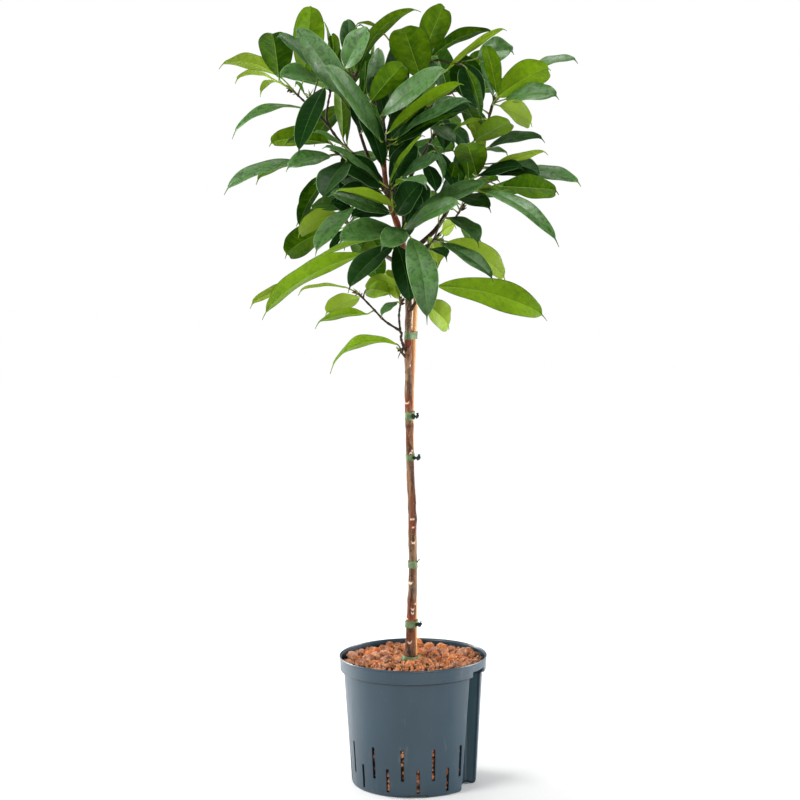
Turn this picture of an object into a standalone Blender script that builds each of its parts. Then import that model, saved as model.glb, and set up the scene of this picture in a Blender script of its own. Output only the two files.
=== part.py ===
"""Potted standard fig: a ball of leafy sprays on a bare staked trunk.

Metres, +Z up, -Y is the front. The origin is the middle of the pot's foot.
The crown was laid out on a front elevation, so every leaf and twig is given by a
column and a row of that elevation and by its depth behind the trunk; seen() turns
such a reading into a point in space.
"""
import math
import random

import bmesh
import bpy
import numpy as np

for old in list(bpy.data.objects):
    bpy.data.objects.remove(old, do_unlink=True)

# ---- driving dimensions (metres) ----
RIM_R = 0.1088         # outside of the thin lip on top of the rim band
RIM_H = 0.192          # height of the pot
BAND_R = 0.1076        # outside of the rim band
BAND_H = 0.0202        # height of the rim band with its lip
WALL_TOP_R = 0.1022    # outside of the wall under the band
WALL_LOW_R = 0.0925    # outside of the wall just above the foot
FOOT_R = 0.0880        # flat foot
WALL_T = 0.0020        # thickness of the plastic
FLOOR_T = 0.0026
SLOT_W = 0.0040
SLOT_TALL = (0.025, 0.072)
SLOT_LOW = (0.007, 0.042)
SLOT_STEP = 360.0 / 13
SLOT_FIRST = -10.2     # degrees round from the front, to the right
CHANNEL_AT = 64.3      # degrees round from the front, to the right
CHANNEL_W = (0.0360, 0.0475)   # width at the top and at the foot
CHANNEL_R = (0.0790, 0.0725)   # how near the middle its back wall comes, top and foot
CHANNEL_TOP = 0.1788   # it runs up through the rim band to under the lip
BED_TOP = 0.1850       # mean height of the granulate
TURNS = 44             # flats round the pot and its filling
GAP = 0.0003           # clearance between touching pieces
LEAF_T = 0.0008        # thickness of a blade
PETIOLE_R = 0.0012
TAPE_T = 0.0010

# ---- the elevation the crown was laid out on ----
EYE = np.array([0.0, -3.20, 0.933])
FOCUS = 2207.0
PITCH = math.radians(6.47)
TURN = math.radians(-0.288)
ROLL = math.radians(-0.488)
FRONT_SPREAD = 1.7     # how much deeper the crown is than the depths given, before the trunk
BACK_SPREAD = 1.2      # and behind it


def seen(col, row, depth=0.0):
    """Point on the sight line through (col, row), `depth` millimetres behind the trunk."""
    fwd = np.array([math.sin(TURN) * math.cos(PITCH), math.cos(TURN) * math.cos(PITCH),
                    -math.sin(PITCH)])
    right = np.array([math.cos(TURN), -math.sin(TURN), 0.0])
    up = np.cross(right, fwd)
    r2 = math.cos(ROLL) * right + math.sin(ROLL) * up
    u2 = -math.sin(ROLL) * right + math.cos(ROLL) * up
    ray = fwd + r2 * (col - 400.0) / FOCUS - u2 * (row - 400.0) / FOCUS
    return EYE + ray * (depth * 0.001 - EYE[1]) / ray[1]


def deepen(p):
    """Push a point along its sight line, so that the crown is about as deep as it is wide."""
    mean, half = (FRONT_SPREAD + BACK_SPREAD) / 2, (FRONT_SPREAD - BACK_SPREAD) / 2
    far = p[1] * (mean - half * math.tanh(p[1] / 0.04))
    return EYE + (p - EYE) * (far - EYE[1]) / (p[1] - EYE[1])


def crown(col, row, depth):
    return deepen(seen(col, row, depth))


# ---- trunk and branches: (col, row, depth mm, radius mm) ----
TRUNK = [(412.0, 600, 0, 6.1), (412.8, 565, 0, 5.8), (412.4, 520, 0, 5.8), (410.2, 465, 0, 5.4),
         (409.3, 430, 0, 5.4), (408.4, 390, 0, 5.3), (408.2, 345, 0, 5.0), (408.6, 310, 2, 4.8),
         (407.5, 280, 4, 4.8), (404.0, 252, 4, 4.6), (399.0, 230, 2, 4.5), (392.5, 211, 0, 4.0),
         (387.0, 192, -2, 3.8), (384.0, 165, -3, 3.4), (384.0, 143, -4, 3.0)]
BRANCHES = [
    [(404, 256, 5, 4.0), (420, 244, 16, 3.6), (436, 229, 28, 3.3), (447, 211, 34, 3.0),
     (456, 190, 36, 2.8)],
    [(447, 211, 34, 2.8), (466, 176, 62, 2.6), (480, 148, 60, 2.4), (488, 124, 46, 2.2)],
    [(403, 250, 5, 3.6), (386, 233, 22, 3.0), (366, 217, 24, 2.7), (354, 210, 16, 2.5)],
    [(388, 195, -2, 3.2), (372, 173, 6, 2.8), (358, 158, 8, 2.6), (347, 149, 8, 2.4)],
    [(362, 163, 8, 2.4), (352, 161, -4, 2.2)],
    [(384, 160, -3, 2.8), (390, 138, 20, 2.6), (403, 106, 44, 2.4), (416, 84, 52, 2.2)],
    [(392, 208, 1, 3.0), (406, 184, 18, 2.6), (419, 162, 24, 2.3)],
    [(386, 186, 0, 2.8), (371, 163, 22, 2.5), (361, 136, 26, 2.3), (356, 116, 24, 2.1)],
    [(388, 194, -2, 3.0), (391, 192, -12, 2.4)],
    [(400, 235, 2, 3.4), (401, 235, -12, 2.8)],
    [(405, 262, 4, 3.2), (418, 256, -6, 2.8), (428, 246, -12, 2.6)],
    [(407, 352, 0, 3.0), (403.0, 344.5, -5, 2.3)],
    [(407.5, 359, 0, 2.6), (402.6, 353.5, -4, 1.7)],
    [(408.5, 314, 2, 3.0), (415, 303, -3, 2.2)],
    [(402, 244, 4, 3.8), (404, 224, 46, 3.2), (402, 196, 82, 2.8), (398, 170, 100, 2.5)],
    [(404, 258, 5, 3.6), (424, 250, 54, 3.0), (440, 234, 92, 2.6)],
    [(405, 266, 4, 3.6), (386, 256, 54, 3.0), (368, 240, 90, 2.6)],
    [(384, 170, -2, 2.8), (376, 146, 40, 2.5), (366, 118, 78, 2.3)],
    [(390, 140, 22, 2.4), (412, 122, 74, 2.3), (432, 106, 100, 2.1)],
]

# ---- sprays: twigs as (col, row, depth mm) and their leaves ----
# A leaf is (base col, row, depth), (tip col, row, depth), width mm, face, arch mm, sweep mm.
# face 0 shows the upper side, 180 the under side, 90 turns the upper side straight up.
SPRAYS = {
    "spray_left_high": (
        [[(346, 148, 8), (337, 138, 6), (327, 121, 2), (328, 104, -2), (331, 90, -6)],
         [(328, 125, 2), (318, 114, -8), (305, 102, -14), (291, 89, -16)],
         [(317, 113, -9), (312, 104, -16), (310, 96, -18)]],
        [((271, 74, -20), (219, 64, -40), 36, 128, 16, 0),
         ((273, 79, -12), (235, 79, 2), 24, 112, 8, 0),
         ((281, 83, -8), (260, 92, 12), 20, 118, 8, 0),
         ((279, 78, -24), (272, 30, -70), 48, 168, 4, 0),
         ((300, 106, -20), (231, 137, -34), 30, 84, 20, 0),
         ((316, 79, -28), (278, 76, -74), 34, 42, 8, 0),
         ((304, 93, -26), (295, 82, -40), 14, 60, 2, 0),
         ((320, 72, -10), (275, 33, -34), 30, 62, 4, 0),
         ((322, 80, 8), (310, 1, 26), 46, 172, 5, 0),
         ((328, 91, -22), (299, 153, -72), 36, 22, 10, -4),
         ((331, 78, 26), (323, 18, 44), 26, 72, 3, 0),
         ((346, 141, 18), (334, 32, 44), 34, 114, 6, 0)]),
    "spray_left": (
        [[(351, 161, -5), (343, 157, -12), (334, 151, -18)]],
        [((322, 137, 4), (270, 142, -8), 34, 142, 6, 0),
         ((329, 143, -22), (285, 141, -50), 30, 126, 4, 0),
         ((324, 148, -26), (286, 167, -52), 38, 52, 8, 0),
         ((303, 160, -14), (222, 186, -34), 32, 62, 16, 0),
         ((296, 163, 8), (256, 180, 22), 28, 120, 5, 0),
         ((344, 162, -38), (322, 197, -96), 46, 32, 5, 0),
         ((320, 176, 12), (299, 213, 30), 30, 148, 6, 0),
         ((326, 178, -2), (299, 226, 2), 34, 140, 8, 0)]),
    "spray_leader": (
        [[(384, 142, -4), (384, 124, -6), (380, 111, -8), (374, 101, -10)]],
        [((381, 116, -22), (448, 66, -74), 36, 36, 6, 0),
         ((393, 122, -14), (463, 81, -24), 30, 114, 4, 0),
         ((397, 138, -26), (472, 98, -84), 34, 58, 6, 0),
         ((398, 144, -12), (469, 110, -48), 28, 104, 5, 0),
         ((371, 101, -22), (405, 62, -58), 38, 165, 3, 0),
         ((376, 125, -24), (322, 61, -96), 36, 46, 7, 0),
         ((368, 94, -6), (379, 44, -14), 30, 40, 3, 0),
         ((364, 95, 10), (365, 49, 36), 26, 150, 3, 0)]),
    "spray_crown_left": (
        [[(356, 114, 24), (353, 100, 18), (353, 85, 12), (355, 74, 8)]],
        [((347, 95, -10), (295, 25, -52), 42, 20, 6, 0),
         ((352, 62, 24), (348, 16, 22), 30, 22, 3, 0),
         ((348, 68, 4), (371, 27, -8), 34, 35, 4, 0),
         ((358, 74, 14), (421, 8, 0), 30, 116, 24, 0)]),
    "spray_middle": (
        [[(391.5, 191.5, -13), (392, 189, -24)]],
        [((380, 182, -20), (323, 143, -52), 28, 80, 5, 0),
         ((389, 209, -44), (335, 189, -108), 30, 38, 1, 0),
         ((397, 184, -40), (427, 185, -100), 34, 58, 8, 0),
         ((402, 177, -34), (441, 157, -84), 28, 55, 5, 0),
         ((390, 180, -18), (425, 132, -30), 26, 104, 4, 0),
         ((379, 190, -12), (336, 174, 2), 40, 36, 5, 0)]),
    "spray_inner": (
        [[(419.5, 161, 24.2), (427, 147, 20), (434, 134, 14)]],
        [((415, 150, 12), (400, 179, -16), 34, 30, 4, 0),
         ((437, 130, 2), (453, 147, -34), 22, 40, 3, 0),
         ((434, 146, 6), (443, 181, -28), 20, 56, 5, 0),
         ((444, 124, 26), (470, 150, 26), 30, 36, 5, 0),
         ((426, 165, 10), (436, 192, -12), 28, 34, 5, 0)]),
    "spray_front": (
        [[(401, 235, -13), (401.5, 233, -29)]],
        [((404, 231, -38), (384, 247, -94), 36, 20, 2, 0),
         ((393, 228, -38), (338, 241, -92), 44, 36, 7, 0),
         ((380, 238, -16), (305, 265, -40), 28, 108, 7, 0),
         ((405, 238, -52), (421, 322, -96), 50, 12, 26, 0),
         ((395, 246, -30), (415, 303, -46), 36, 20, 10, 0),
         ((391, 246, -34), (348, 288, -84), 40, 38, 7, 0),
         ((405, 231, -34), (461, 201, -98), 40, 48, 8, 0),
         ((404, 229, -22), (492, 181, -52), 44, 56, 12, 0),
         ((362, 254, -16), (263, 316, -44), 40, 128, 16, 0),
         ((384, 246, -6), (362, 253, 40), 32, 146, 4, 0),
         ((406, 223, -6), (414, 187, 2), 30, 40, 5, 0)]),
    "spray_left_low": (
        [[(353, 209.5, 15), (344, 208, 8)]],
        [((338, 205, 12), (311, 213, -10), 28, 122, 4, 0),
         ((336, 213, -10), (298, 233, -40), 38, 140, 6, 0),
         ((346, 214, -22), (317, 252, -76), 38, 48, 6, 0),
         ((328, 228, 18), (286, 257, -12), 46, 156, 8, 0),
         ((302, 283, 12), (250, 305, -4), 26, 134, 6, 0)]),
    "spray_right_low": (
        [[(429, 245, -12.5), (437, 238, -18)]],
        [((446, 218, -22), (479, 243, -66), 40, 54, 8, 0),
         ((448, 242, -30), (506, 278, -60), 46, 146, 12, 0),
         ((442, 243, -48), (494, 279, -92), 32, 52, 6, 0),
         ((430, 250, -40), (447, 257, -84), 26, 58, 5, 0),
         ((442, 232, 0), (456, 224, 34), 24, 150, 3, 0),
         ((430, 238, 4), (438, 263, 30), 26, 146, 4, 0)]),
    "spray_twig": (
        [[(402.8, 344.1, -5.3), (400.9, 338, -8), (400.4, 331.5, -9), (385, 321, -9),
          (372, 307.5, -9), (358, 293, -8)],
         [(400.6, 333, -9), (399.0, 316, -9), (401.0, 301, -9)]],
        [((366, 315, -14), (313, 329, -34), 34, 126, 7, 0),
         ((352, 298, 0), (325, 313, 30), 34, 150, 4, 0),
         ((344, 287, 0), (298, 291, 14), 20, 106, 5, 0),
         ((366, 290, 0), (391, 293, 44), 32, 150, 5, 0),
         ((386, 272, 42), (398, 298, 66), 28, 150, 4, 0),
         ((397, 303, -14), (383, 318, -26), 16, 58, 2, 0)]),
    "spray_right_twig": (
        [[(415.3, 302.5, -3.3), (421, 296, -8), (428, 288, -10)]],
        [((438, 285, -12), (546, 318, -30), 52, 150, 12, 0),
         ((423, 302, -4), (450, 330, -56), 46, 158, 5, 0)]),
    "leaf_low": (
        [[(402.3, 353.2, -4.3), (400, 350.6, -6)]],
        [((393, 342, -12), (331, 369, -34), 34, 104, 22, 0)]),
    "spray_right": (
        [[(456.3, 189, 35.5), (461, 176, 26), (468, 162, 18)]],
        [((474, 146, -4), (511, 121, -50), 44, 160, 5, 0),
         ((489, 148, 16), (545, 138, 6), 34, 56, 8, 0),
         ((495, 166, -14), (548, 150, -38), 24, 112, 3, 0),
         ((477, 175, -10), (466, 141, -64), 46, 170, 4, 0),
         ((469, 178, -24), (467, 160, -48), 20, 165, 2, 0),
         ((450, 182, -2), (455, 160, -22), 22, 160, 2, 0),
         ((502, 163, 16), (540, 177, -12), 36, 56, 7, 0),
         ((524, 170, 28), (581, 182, 14), 32, 50, 5, 0),
         ((500, 183, -24), (558, 190, -66), 46, 148, 8, 0),
         ((478, 191, -34), (557, 243, -100), 42, 44, 14, 0),
         ((457, 198, -4), (491, 208, -34), 34, 50, 6, 0),
         ((485, 150, 34), (508, 153, 38), 16, 62, 2, 0)]),
    "spray_right_high": (
        [[(488.5, 122.5, 45.5), (490, 112, 40), (494, 99, 34)]],
        [((495, 93, 26), (486, 43, 10), 34, 156, 4, 0),
         ((499, 92, 30), (548, 64, -6), 44, 160, 4, 0),
         ((531, 70, 50), (578, 59, 44), 30, 60, 5, 0),
         ((506, 99, 20), (559, 95, -10), 42, 52, 7, 0),
         ((500, 107, 20), (532, 126, -30), 38, 142, 6, 0),
         ((472, 100, 48), (459, 54, 62), 48, 170, 4, 0)]),
    "spray_top": (
        [[(416.5, 82.5, 52), (427, 66, 50), (437, 60, 48), (448, 63, 42), (459, 64, 26)]],
        [((420, 77, 32), (402, 25, -6), 56, 174, 4, 0),
         ((429, 52, 62), (446, 4, 56), 42, 172, 3, 0),
         ((432, 56, 44), (495, 30, 20), 28, 112, 12, 0),
         ((462, 58, 20), (513, 50, 4), 40, 66, 24, 0),
         ((467, 69, 12), (481, 117, -9), 26, 118, 4, 0)]),
    "spray_back_high": (
        [[(398, 169, 101), (396, 150, 108), (392, 130, 112)]],
        [((384, 128, 122), (330, 80, 172), 40, 150, 8, 0),
         ((396, 122, 120), (440, 72, 168), 40, 152, 8, 0),
         ((390, 118, 108), (396, 40, 124), 46, 30, 6, 0),
         ((404, 150, 118), (456, 150, 196), 40, 128, 8, 0),
         ((384, 156, 118), (340, 172, 190), 40, 126, 8, 0),
         ((396, 176, 124), (400, 196, 220), 44, 120, 10, 0),
         ((402, 144, 112), (416, 106, 118), 42, 30, 5, 0),
         ((412, 160, 98), (440, 152, 60), 36, 50, 5, 0),
         ((413, 176, 98), (422, 209, 68), 36, 28, 6, 0)]),
    "spray_back_right": (
        [[(440.5, 233, 93), (452, 222, 110), (462, 208, 120)]],
        [((466, 196, 112), (500, 178, 146), 34, 118, 6, 0),
         ((470, 200, 130), (540, 190, 168), 42, 126, 10, 0),
         ((462, 218, 138), (494, 262, 190), 44, 128, 12, 0),
         ((448, 236, 128), (440, 300, 180), 44, 150, 14, 0),
         ((452, 208, 126), (420, 200, 186), 40, 118, 6, 0),
         ((456, 200, 116), (462, 150, 150), 42, 30, 5, 0)]),
    "spray_back_left": (
        [[(367.5, 239.5, 91), (356, 232, 106), (346, 222, 114)]],
        [((340, 218, 114), (296, 222, 126), 38, 124, 8, 0),
         ((342, 228, 124), (290, 250, 176), 42, 130, 12, 0),
         ((352, 240, 122), (366, 290, 178), 44, 150, 14, 0),
         ((360, 236, 124), (396, 250, 196), 42, 126, 10, 0),
         ((344, 212, 108), (318, 180, 128), 40, 34, 5, 0),
         ((352, 220, 124), (376, 206, 190), 38, 120, 6, 0)]),
    "spray_back_crown": (
        [[(365.5, 117, 79), (360, 104, 84), (352, 92, 86)]],
        [((346, 88, 78), (300, 60, 96), 42, 140, 6, 0),
         ((344, 94, 92), (280, 72, 132), 40, 128, 8, 0),
         ((354, 84, 92), (350, 24, 124), 40, 150, 6, 0),
         ((362, 100, 96), (404, 76, 140), 40, 124, 6, 0),
         ((350, 104, 96), (314, 142, 140), 42, 130, 10, 0),
         ((368, 62, 66), (357, 22, 56), 18, 104, 14, 0),
         ((368, 102, 78), (386, 74, 54), 38, 40, 5, 0)]),
    "spray_back_rise": (
        [[(432.5, 105.5, 101), (444, 96, 108), (456, 90, 112)]],
        [((462, 86, 104), (492, 52, 118), 40, 140, 5, 0),
         ((464, 92, 116), (530, 92, 156), 42, 126, 8, 0),
         ((456, 98, 122), (480, 140, 170), 42, 132, 10, 0),
         ((448, 92, 118), (430, 40, 152), 42, 150, 6, 0),
         ((444, 104, 118), (448, 130, 188), 38, 122, 8, 0),
         ((440, 112, 90), (444, 150, 62), 32, 30, 5, 0),
         ((440, 90, 92), (424, 60, 64), 38, 60, 5, 0)]),
}

# Outline of a blade: place along it and half width, as shares of length and of half the width.
BLADE = [(0.0, 0.07), (0.27, 0.66), (0.60, 1.00), (0.88, 0.66), (1.0, 0.05)]
SMALL = [(0.0, 0.07), (0.36, 0.80), (0.76, 0.92), (1.0, 0.05)]
FOLD = 0.16            # how far a blade is folded up along its midrib
# One step of a leaf between two rings of six points, its two faces split along like diagonals.
LEAF_TRIS = [(0, 1, 7), (0, 7, 6), (1, 2, 7), (2, 8, 7), (2, 3, 9), (2, 9, 8),
             (3, 4, 10), (3, 10, 9), (4, 5, 10), (5, 11, 10), (5, 0, 6), (5, 6, 11)]


def material(name, rgb, rough, metallic=0.0):
    mat = bpy.data.materials.new(name)
    mat.use_nodes = True
    bsdf = mat.node_tree.nodes["Principled BSDF"]
    bsdf.inputs["Base Color"].default_value = (*rgb, 1.0)
    bsdf.inputs["Roughness"].default_value = rough
    bsdf.inputs["Metallic"].default_value = metallic
    mat.diffuse_color = (*rgb, 1.0)
    return mat


def solid(name, verts, faces, mat=None):
    mesh = bpy.data.meshes.new(name)
    mesh.from_pydata([tuple(map(float, v)) for v in verts], [], faces)
    mesh.update()
    bm = bmesh.new()
    bm.from_mesh(mesh)
    bmesh.ops.recalc_face_normals(bm, faces=bm.faces)
    if bm.calc_volume(signed=True) < 0:
        bmesh.ops.reverse_faces(bm, faces=bm.faces)
    bm.to_mesh(mesh)
    bm.free()
    ob = bpy.data.objects.new(name, mesh)
    bpy.context.scene.collection.objects.link(ob)
    if mat:
        mesh.materials.append(mat)
    return ob


def rings(name, loops, mat=None, closed=False):
    """Closed body through rings of points; ends capped unless the rings close on each other."""
    n, m = len(loops), len(loops[0])
    verts = [p for loop in loops for p in loop]
    faces = []
    for i in range(n if closed else n - 1):
        j = (i + 1) % n
        for k in range(m):
            l = (k + 1) % m
            faces.append((i * m + k, i * m + l, j * m + l, j * m + k))
    if not closed:
        faces.append(tuple(range(m)))
        faces.append(tuple(range((n - 1) * m, n * m)))
    return solid(name, verts, faces, mat)


def unit(v):
    return np.asarray(v, float) / max(np.linalg.norm(v), 1e-12)


def tube(name, points, radii, sides, mat=None, lead=None):
    """Round bar along a line of points, square to the line at its ends, or to lead at its start."""
    pts = [np.asarray(p, float) for p in points]
    side = None
    loops = []
    for i, p in enumerate(pts):
        ahead = unit(pts[min(i + 1, len(pts) - 1)] - p) if i + 1 < len(pts) else np.zeros(3)
        behind = unit(p - pts[i - 1]) if i else np.zeros(3)
        t = unit(ahead + behind) if i or lead is None else lead
        if side is None:
            side = unit(np.cross(t, (0.31, 0.95, 0.05)))
        side = unit(side - t * side.dot(t))
        other = np.cross(t, side)
        ang = [2 * math.pi * k / sides for k in range(sides)]
        loops.append([p + radii[i] * (math.cos(a) * side + math.sin(a) * other) for a in ang])
    return rings(name, loops, mat)


def join(name, parts, mat):
    """One closed body out of overlapping ones: a Boolean union on a collection."""
    first = parts[0]
    if len(parts) > 1:
        group = bpy.data.collections.new(name + "_parts")
        for ob in parts[1:]:
            bpy.context.scene.collection.objects.unlink(ob)
            group.objects.link(ob)
        mod = first.modifiers.new("union", "BOOLEAN")
        mod.operation = "UNION"
        mod.solver = "EXACT"
        mod.operand_type = "COLLECTION"
        mod.collection = group
        settle(first)
        for ob in list(group.objects):
            bpy.data.objects.remove(ob, do_unlink=True)
        bpy.data.collections.remove(group)
    first.name = name
    first.data.name = name
    first.data.materials.clear()
    first.data.materials.append(mat)
    return first


def settle(ob):
    """Apply the object's modifiers to its mesh."""
    deps = bpy.context.evaluated_depsgraph_get()
    done = bpy.data.meshes.new_from_object(ob.evaluated_get(deps))
    ob.modifiers.clear()
    ob.data = done
    bm = bmesh.new()
    bm.from_mesh(done)
    bmesh.ops.triangulate(bm, faces=bm.faces)
    bmesh.ops.remove_doubles(bm, verts=bm.verts, dist=0.000001)
    bm.to_mesh(done)
    bm.free()


def cut(ob, cutters):
    group = bpy.data.collections.new("cutters")
    for c in cutters:
        bpy.context.scene.collection.objects.unlink(c)
        group.objects.link(c)
    mod = ob.modifiers.new("cut", "BOOLEAN")
    mod.operation = "DIFFERENCE"
    mod.solver = "EXACT"
    mod.operand_type = "COLLECTION"
    mod.collection = group
    settle(ob)
    for c in list(group.objects):
        bpy.data.objects.remove(c, do_unlink=True)
    bpy.data.collections.remove(group)


def turned(name, profile, segments, mat=None):
    """Body turned about Z from a profile of (radius, height) that starts and ends on the axis."""
    verts, faces = [], []
    rows = []
    for r, z in profile:
        if r < 1e-9:
            rows.append([len(verts)] * segments)
            verts.append((0.0, 0.0, z))
        else:
            rows.append(list(range(len(verts), len(verts) + segments)))
            verts += [(r * math.cos(2 * math.pi * k / segments),
                       r * math.sin(2 * math.pi * k / segments), z) for k in range(segments)]
    for a, b in zip(rows, rows[1:]):
        for k in range(segments):
            l = (k + 1) % segments
            f = [a[k], a[l], b[l], b[k]]
            f = [v for i, v in enumerate(f) if v != f[i - 1]]
            faces.append(tuple(f))
    return solid(name, verts, faces, mat)


def polar_box(name, azimuth, r0, r1, width, z0, z1):
    """Upright block reaching outwards from radius r0 to r1 at an angle round from the front."""
    a = math.radians(azimuth)
    out = np.array([math.sin(a), -math.cos(a), 0.0])
    across = np.array([math.cos(a), math.sin(a), 0.0])
    verts = [out * r + across * s * width / 2 + np.array([0, 0, z])
             for z in (z0, z1) for r, s in ((r0, -1), (r1, -1), (r1, 1), (r0, 1))]
    faces = [(0, 1, 2, 3), (4, 5, 6, 7), (0, 1, 5, 4), (1, 2, 6, 5), (2, 3, 7, 6), (3, 0, 4, 7)]
    return solid(name, verts, faces)


def channel_block(name, grow, reach, z0, z1):
    """Block of the gauge channel, wider and deeper towards the foot, grown on all its sides."""
    block = polar_box(name, CHANNEL_AT, 0.0, reach, 1.0, z0, z1)
    a = math.radians(CHANNEL_AT)
    out = np.array([math.sin(a), -math.cos(a), 0.0])
    across = np.array([math.cos(a), math.sin(a), 0.0])
    for v in block.data.vertices:
        low = 1.0 - v.co.z / CHANNEL_TOP
        w = CHANNEL_W[0] + (CHANNEL_W[1] - CHANNEL_W[0]) * low + 2 * grow
        r = CHANNEL_R[0] + (CHANNEL_R[1] - CHANNEL_R[0]) * low - grow
        near = float(np.dot(v.co, out)) < reach / 2
        side = math.copysign(w / 2, float(np.dot(v.co, across)))
        v.co = out * (r if near else reach) + across * side + np.array([0, 0, v.co.z])
    return block


def pot(mat):
    """Turned shell with its lip, rim band, gauge channel, two rows of slots and foot notch."""
    under = RIM_H - BAND_H
    outer = [(0, 0), (FOOT_R, 0), (WALL_LOW_R - 0.0012, 0.0022), (WALL_LOW_R, 0.006),
             (WALL_TOP_R, under - 0.0078), (BAND_R - 0.0016, under - 0.0002), (BAND_R, under),
             (BAND_R + 0.0002, RIM_H - 0.0030), (RIM_R, RIM_H - 0.0024),
             (RIM_R, RIM_H - 0.0008), (RIM_R - 0.0008, RIM_H), (0, RIM_H)]
    inner = [(0, FLOOR_T), (FOOT_R - 0.003, FLOOR_T), (WALL_LOW_R - WALL_T, 0.008),
             (WALL_TOP_R - WALL_T, under - 0.0062), (BAND_R - 0.0016 - WALL_T, under + 0.0012),
             (BAND_R - WALL_T, RIM_H - 0.003), (BAND_R - WALL_T + 0.0004, RIM_H + 0.004),
             (0, RIM_H + 0.004)]
    body = turned("pot", outer, TURNS, mat)
    hollow = turned("hollow", inner, TURNS)
    cut(hollow, [channel_block("keep", WALL_T, 0.14, -0.01, CHANNEL_TOP + WALL_T)])
    cutters = [hollow,
               channel_block("channel", 0.0, 0.15, -0.02, CHANNEL_TOP),
               polar_box("foot_notch", 4.5, FOOT_R - 0.010, 0.12, 0.026, -0.01, 0.0018)]
    for k in range(13):
        at = SLOT_FIRST + k * SLOT_STEP
        if abs((at - CHANNEL_AT + 180) % 360 - 180) > 17:
            cutters.append(polar_box("slot", at, 0.080, 0.12, SLOT_W, *SLOT_TALL))
        at += SLOT_STEP / 2
        if abs((at - CHANNEL_AT + 180) % 360 - 180) > 17:
            cutters.append(polar_box("slot", at, 0.080, 0.12, SLOT_W, *SLOT_LOW))
    cut(body, cutters)
    return body


def granulate(mat, trunk_at, stake_at):
    """Bed of fired clay filling the pot, its top lumpy, with plain holes for trunk and stake."""
    rng = random.Random(11)
    rows = [0.017, 0.031, 0.045, 0.059, 0.073, 0.086, 0.098]
    under = RIM_H - BAND_H
    g = WALL_T + GAP
    verts, loops = [], []

    def ring(r, z, wave=0.0):
        loops.append(list(range(len(verts), len(verts) + TURNS)))
        for k in range(TURNS):
            a = 2 * math.pi * k / TURNS
            dr = rng.uniform(-1, 1) * 0.002 if wave else 0.0
            dz = rng.uniform(-1, 1) * wave
            verts.append(((r + dr) * math.cos(a), (r + dr) * math.sin(a), z + dz))

    ring(FOOT_R - 0.0038, FLOOR_T + GAP)
    ring(WALL_LOW_R - g - 0.0002, 0.0086)
    ring(WALL_TOP_R - g, under - 0.0060)
    ring(BAND_R - 0.0016 - g, under + 0.0014)
    ring(BAND_R - g - 0.0004, BED_TOP - 0.0012)
    for r in reversed(rows):
        ring(r, BED_TOP, 0.0024 if r > 0.03 else 0.0004)
    verts.append((0, 0, BED_TOP - 0.0005))
    top = len(verts) - 1
    faces = []
    for a, b in zip(loops, loops[1:]):
        for k in range(TURNS):
            l = (k + 1) % TURNS
            faces.append((a[k], a[l], b[l], b[k]))
    last = loops[-1]
    for k in range(TURNS):
        faces.append((last[k], last[(k + 1) % TURNS], top))
    faces.append(tuple(reversed(loops[0])))
    bed = solid("granulate", verts, faces, mat)
    e = WALL_T + GAP
    cutters = [channel_block("room", e, 0.14, -0.01, CHANNEL_TOP + e)]
    for x, y, r, low in (trunk_at, stake_at):
        rr = (r + GAP) / math.cos(math.pi / 18)
        cutters.append(tube("hole", [(x, y, low - GAP), (x, y, 0.3)], [rr, rr], 18))
    cut(bed, cutters)
    return bed


def nearest(point, lines):
    """Nearest place to point on the lines: the line, the leg, the place and its distance."""
    best = None
    for li, line in enumerate(lines):
        for k in range(len(line) - 1):
            a, b = line[k], line[k + 1]
            d = b - a
            s = float(np.clip((point - a).dot(d) / max(d.dot(d), 1e-12), 0.0, 1.0))
            q = a + d * s
            dist = float(np.linalg.norm(point - q))
            if best is None or dist < best[3] - 1e-9:
                best = (li, k + s, q, dist)
    return best


def along(line, u):
    k = min(int(u), len(line) - 2)
    return line[k] + (line[k + 1] - line[k]) * (u - k)


def leaf_line(base, tip, face, arch, sweep):
    """Middle line of a blade as a function of the share of its length, and its first normal."""
    axis = unit(tip - base)
    toward = unit(EYE - (base + tip) / 2)
    e1 = unit(toward - axis * toward.dot(axis))
    e2 = np.cross(axis, e1)
    if e2[2] + 0.3 * e2[0] < 0:
        e2 = -e2
    a = math.radians(face)
    normal = math.cos(a) * e1 + math.sin(a) * e2
    side = np.cross(axis, normal)

    def at(t):
        bow = 4 * t * (1 - t)
        p = base + (tip - base) * t + (normal * arch + side * sweep) * (0.001 * bow)
        if t > 0.88:
            p = p + np.array([0, 0, -0.004 * ((t - 0.88) / 0.12) ** 2])
        return deepen(p)
    return at, normal


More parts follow.
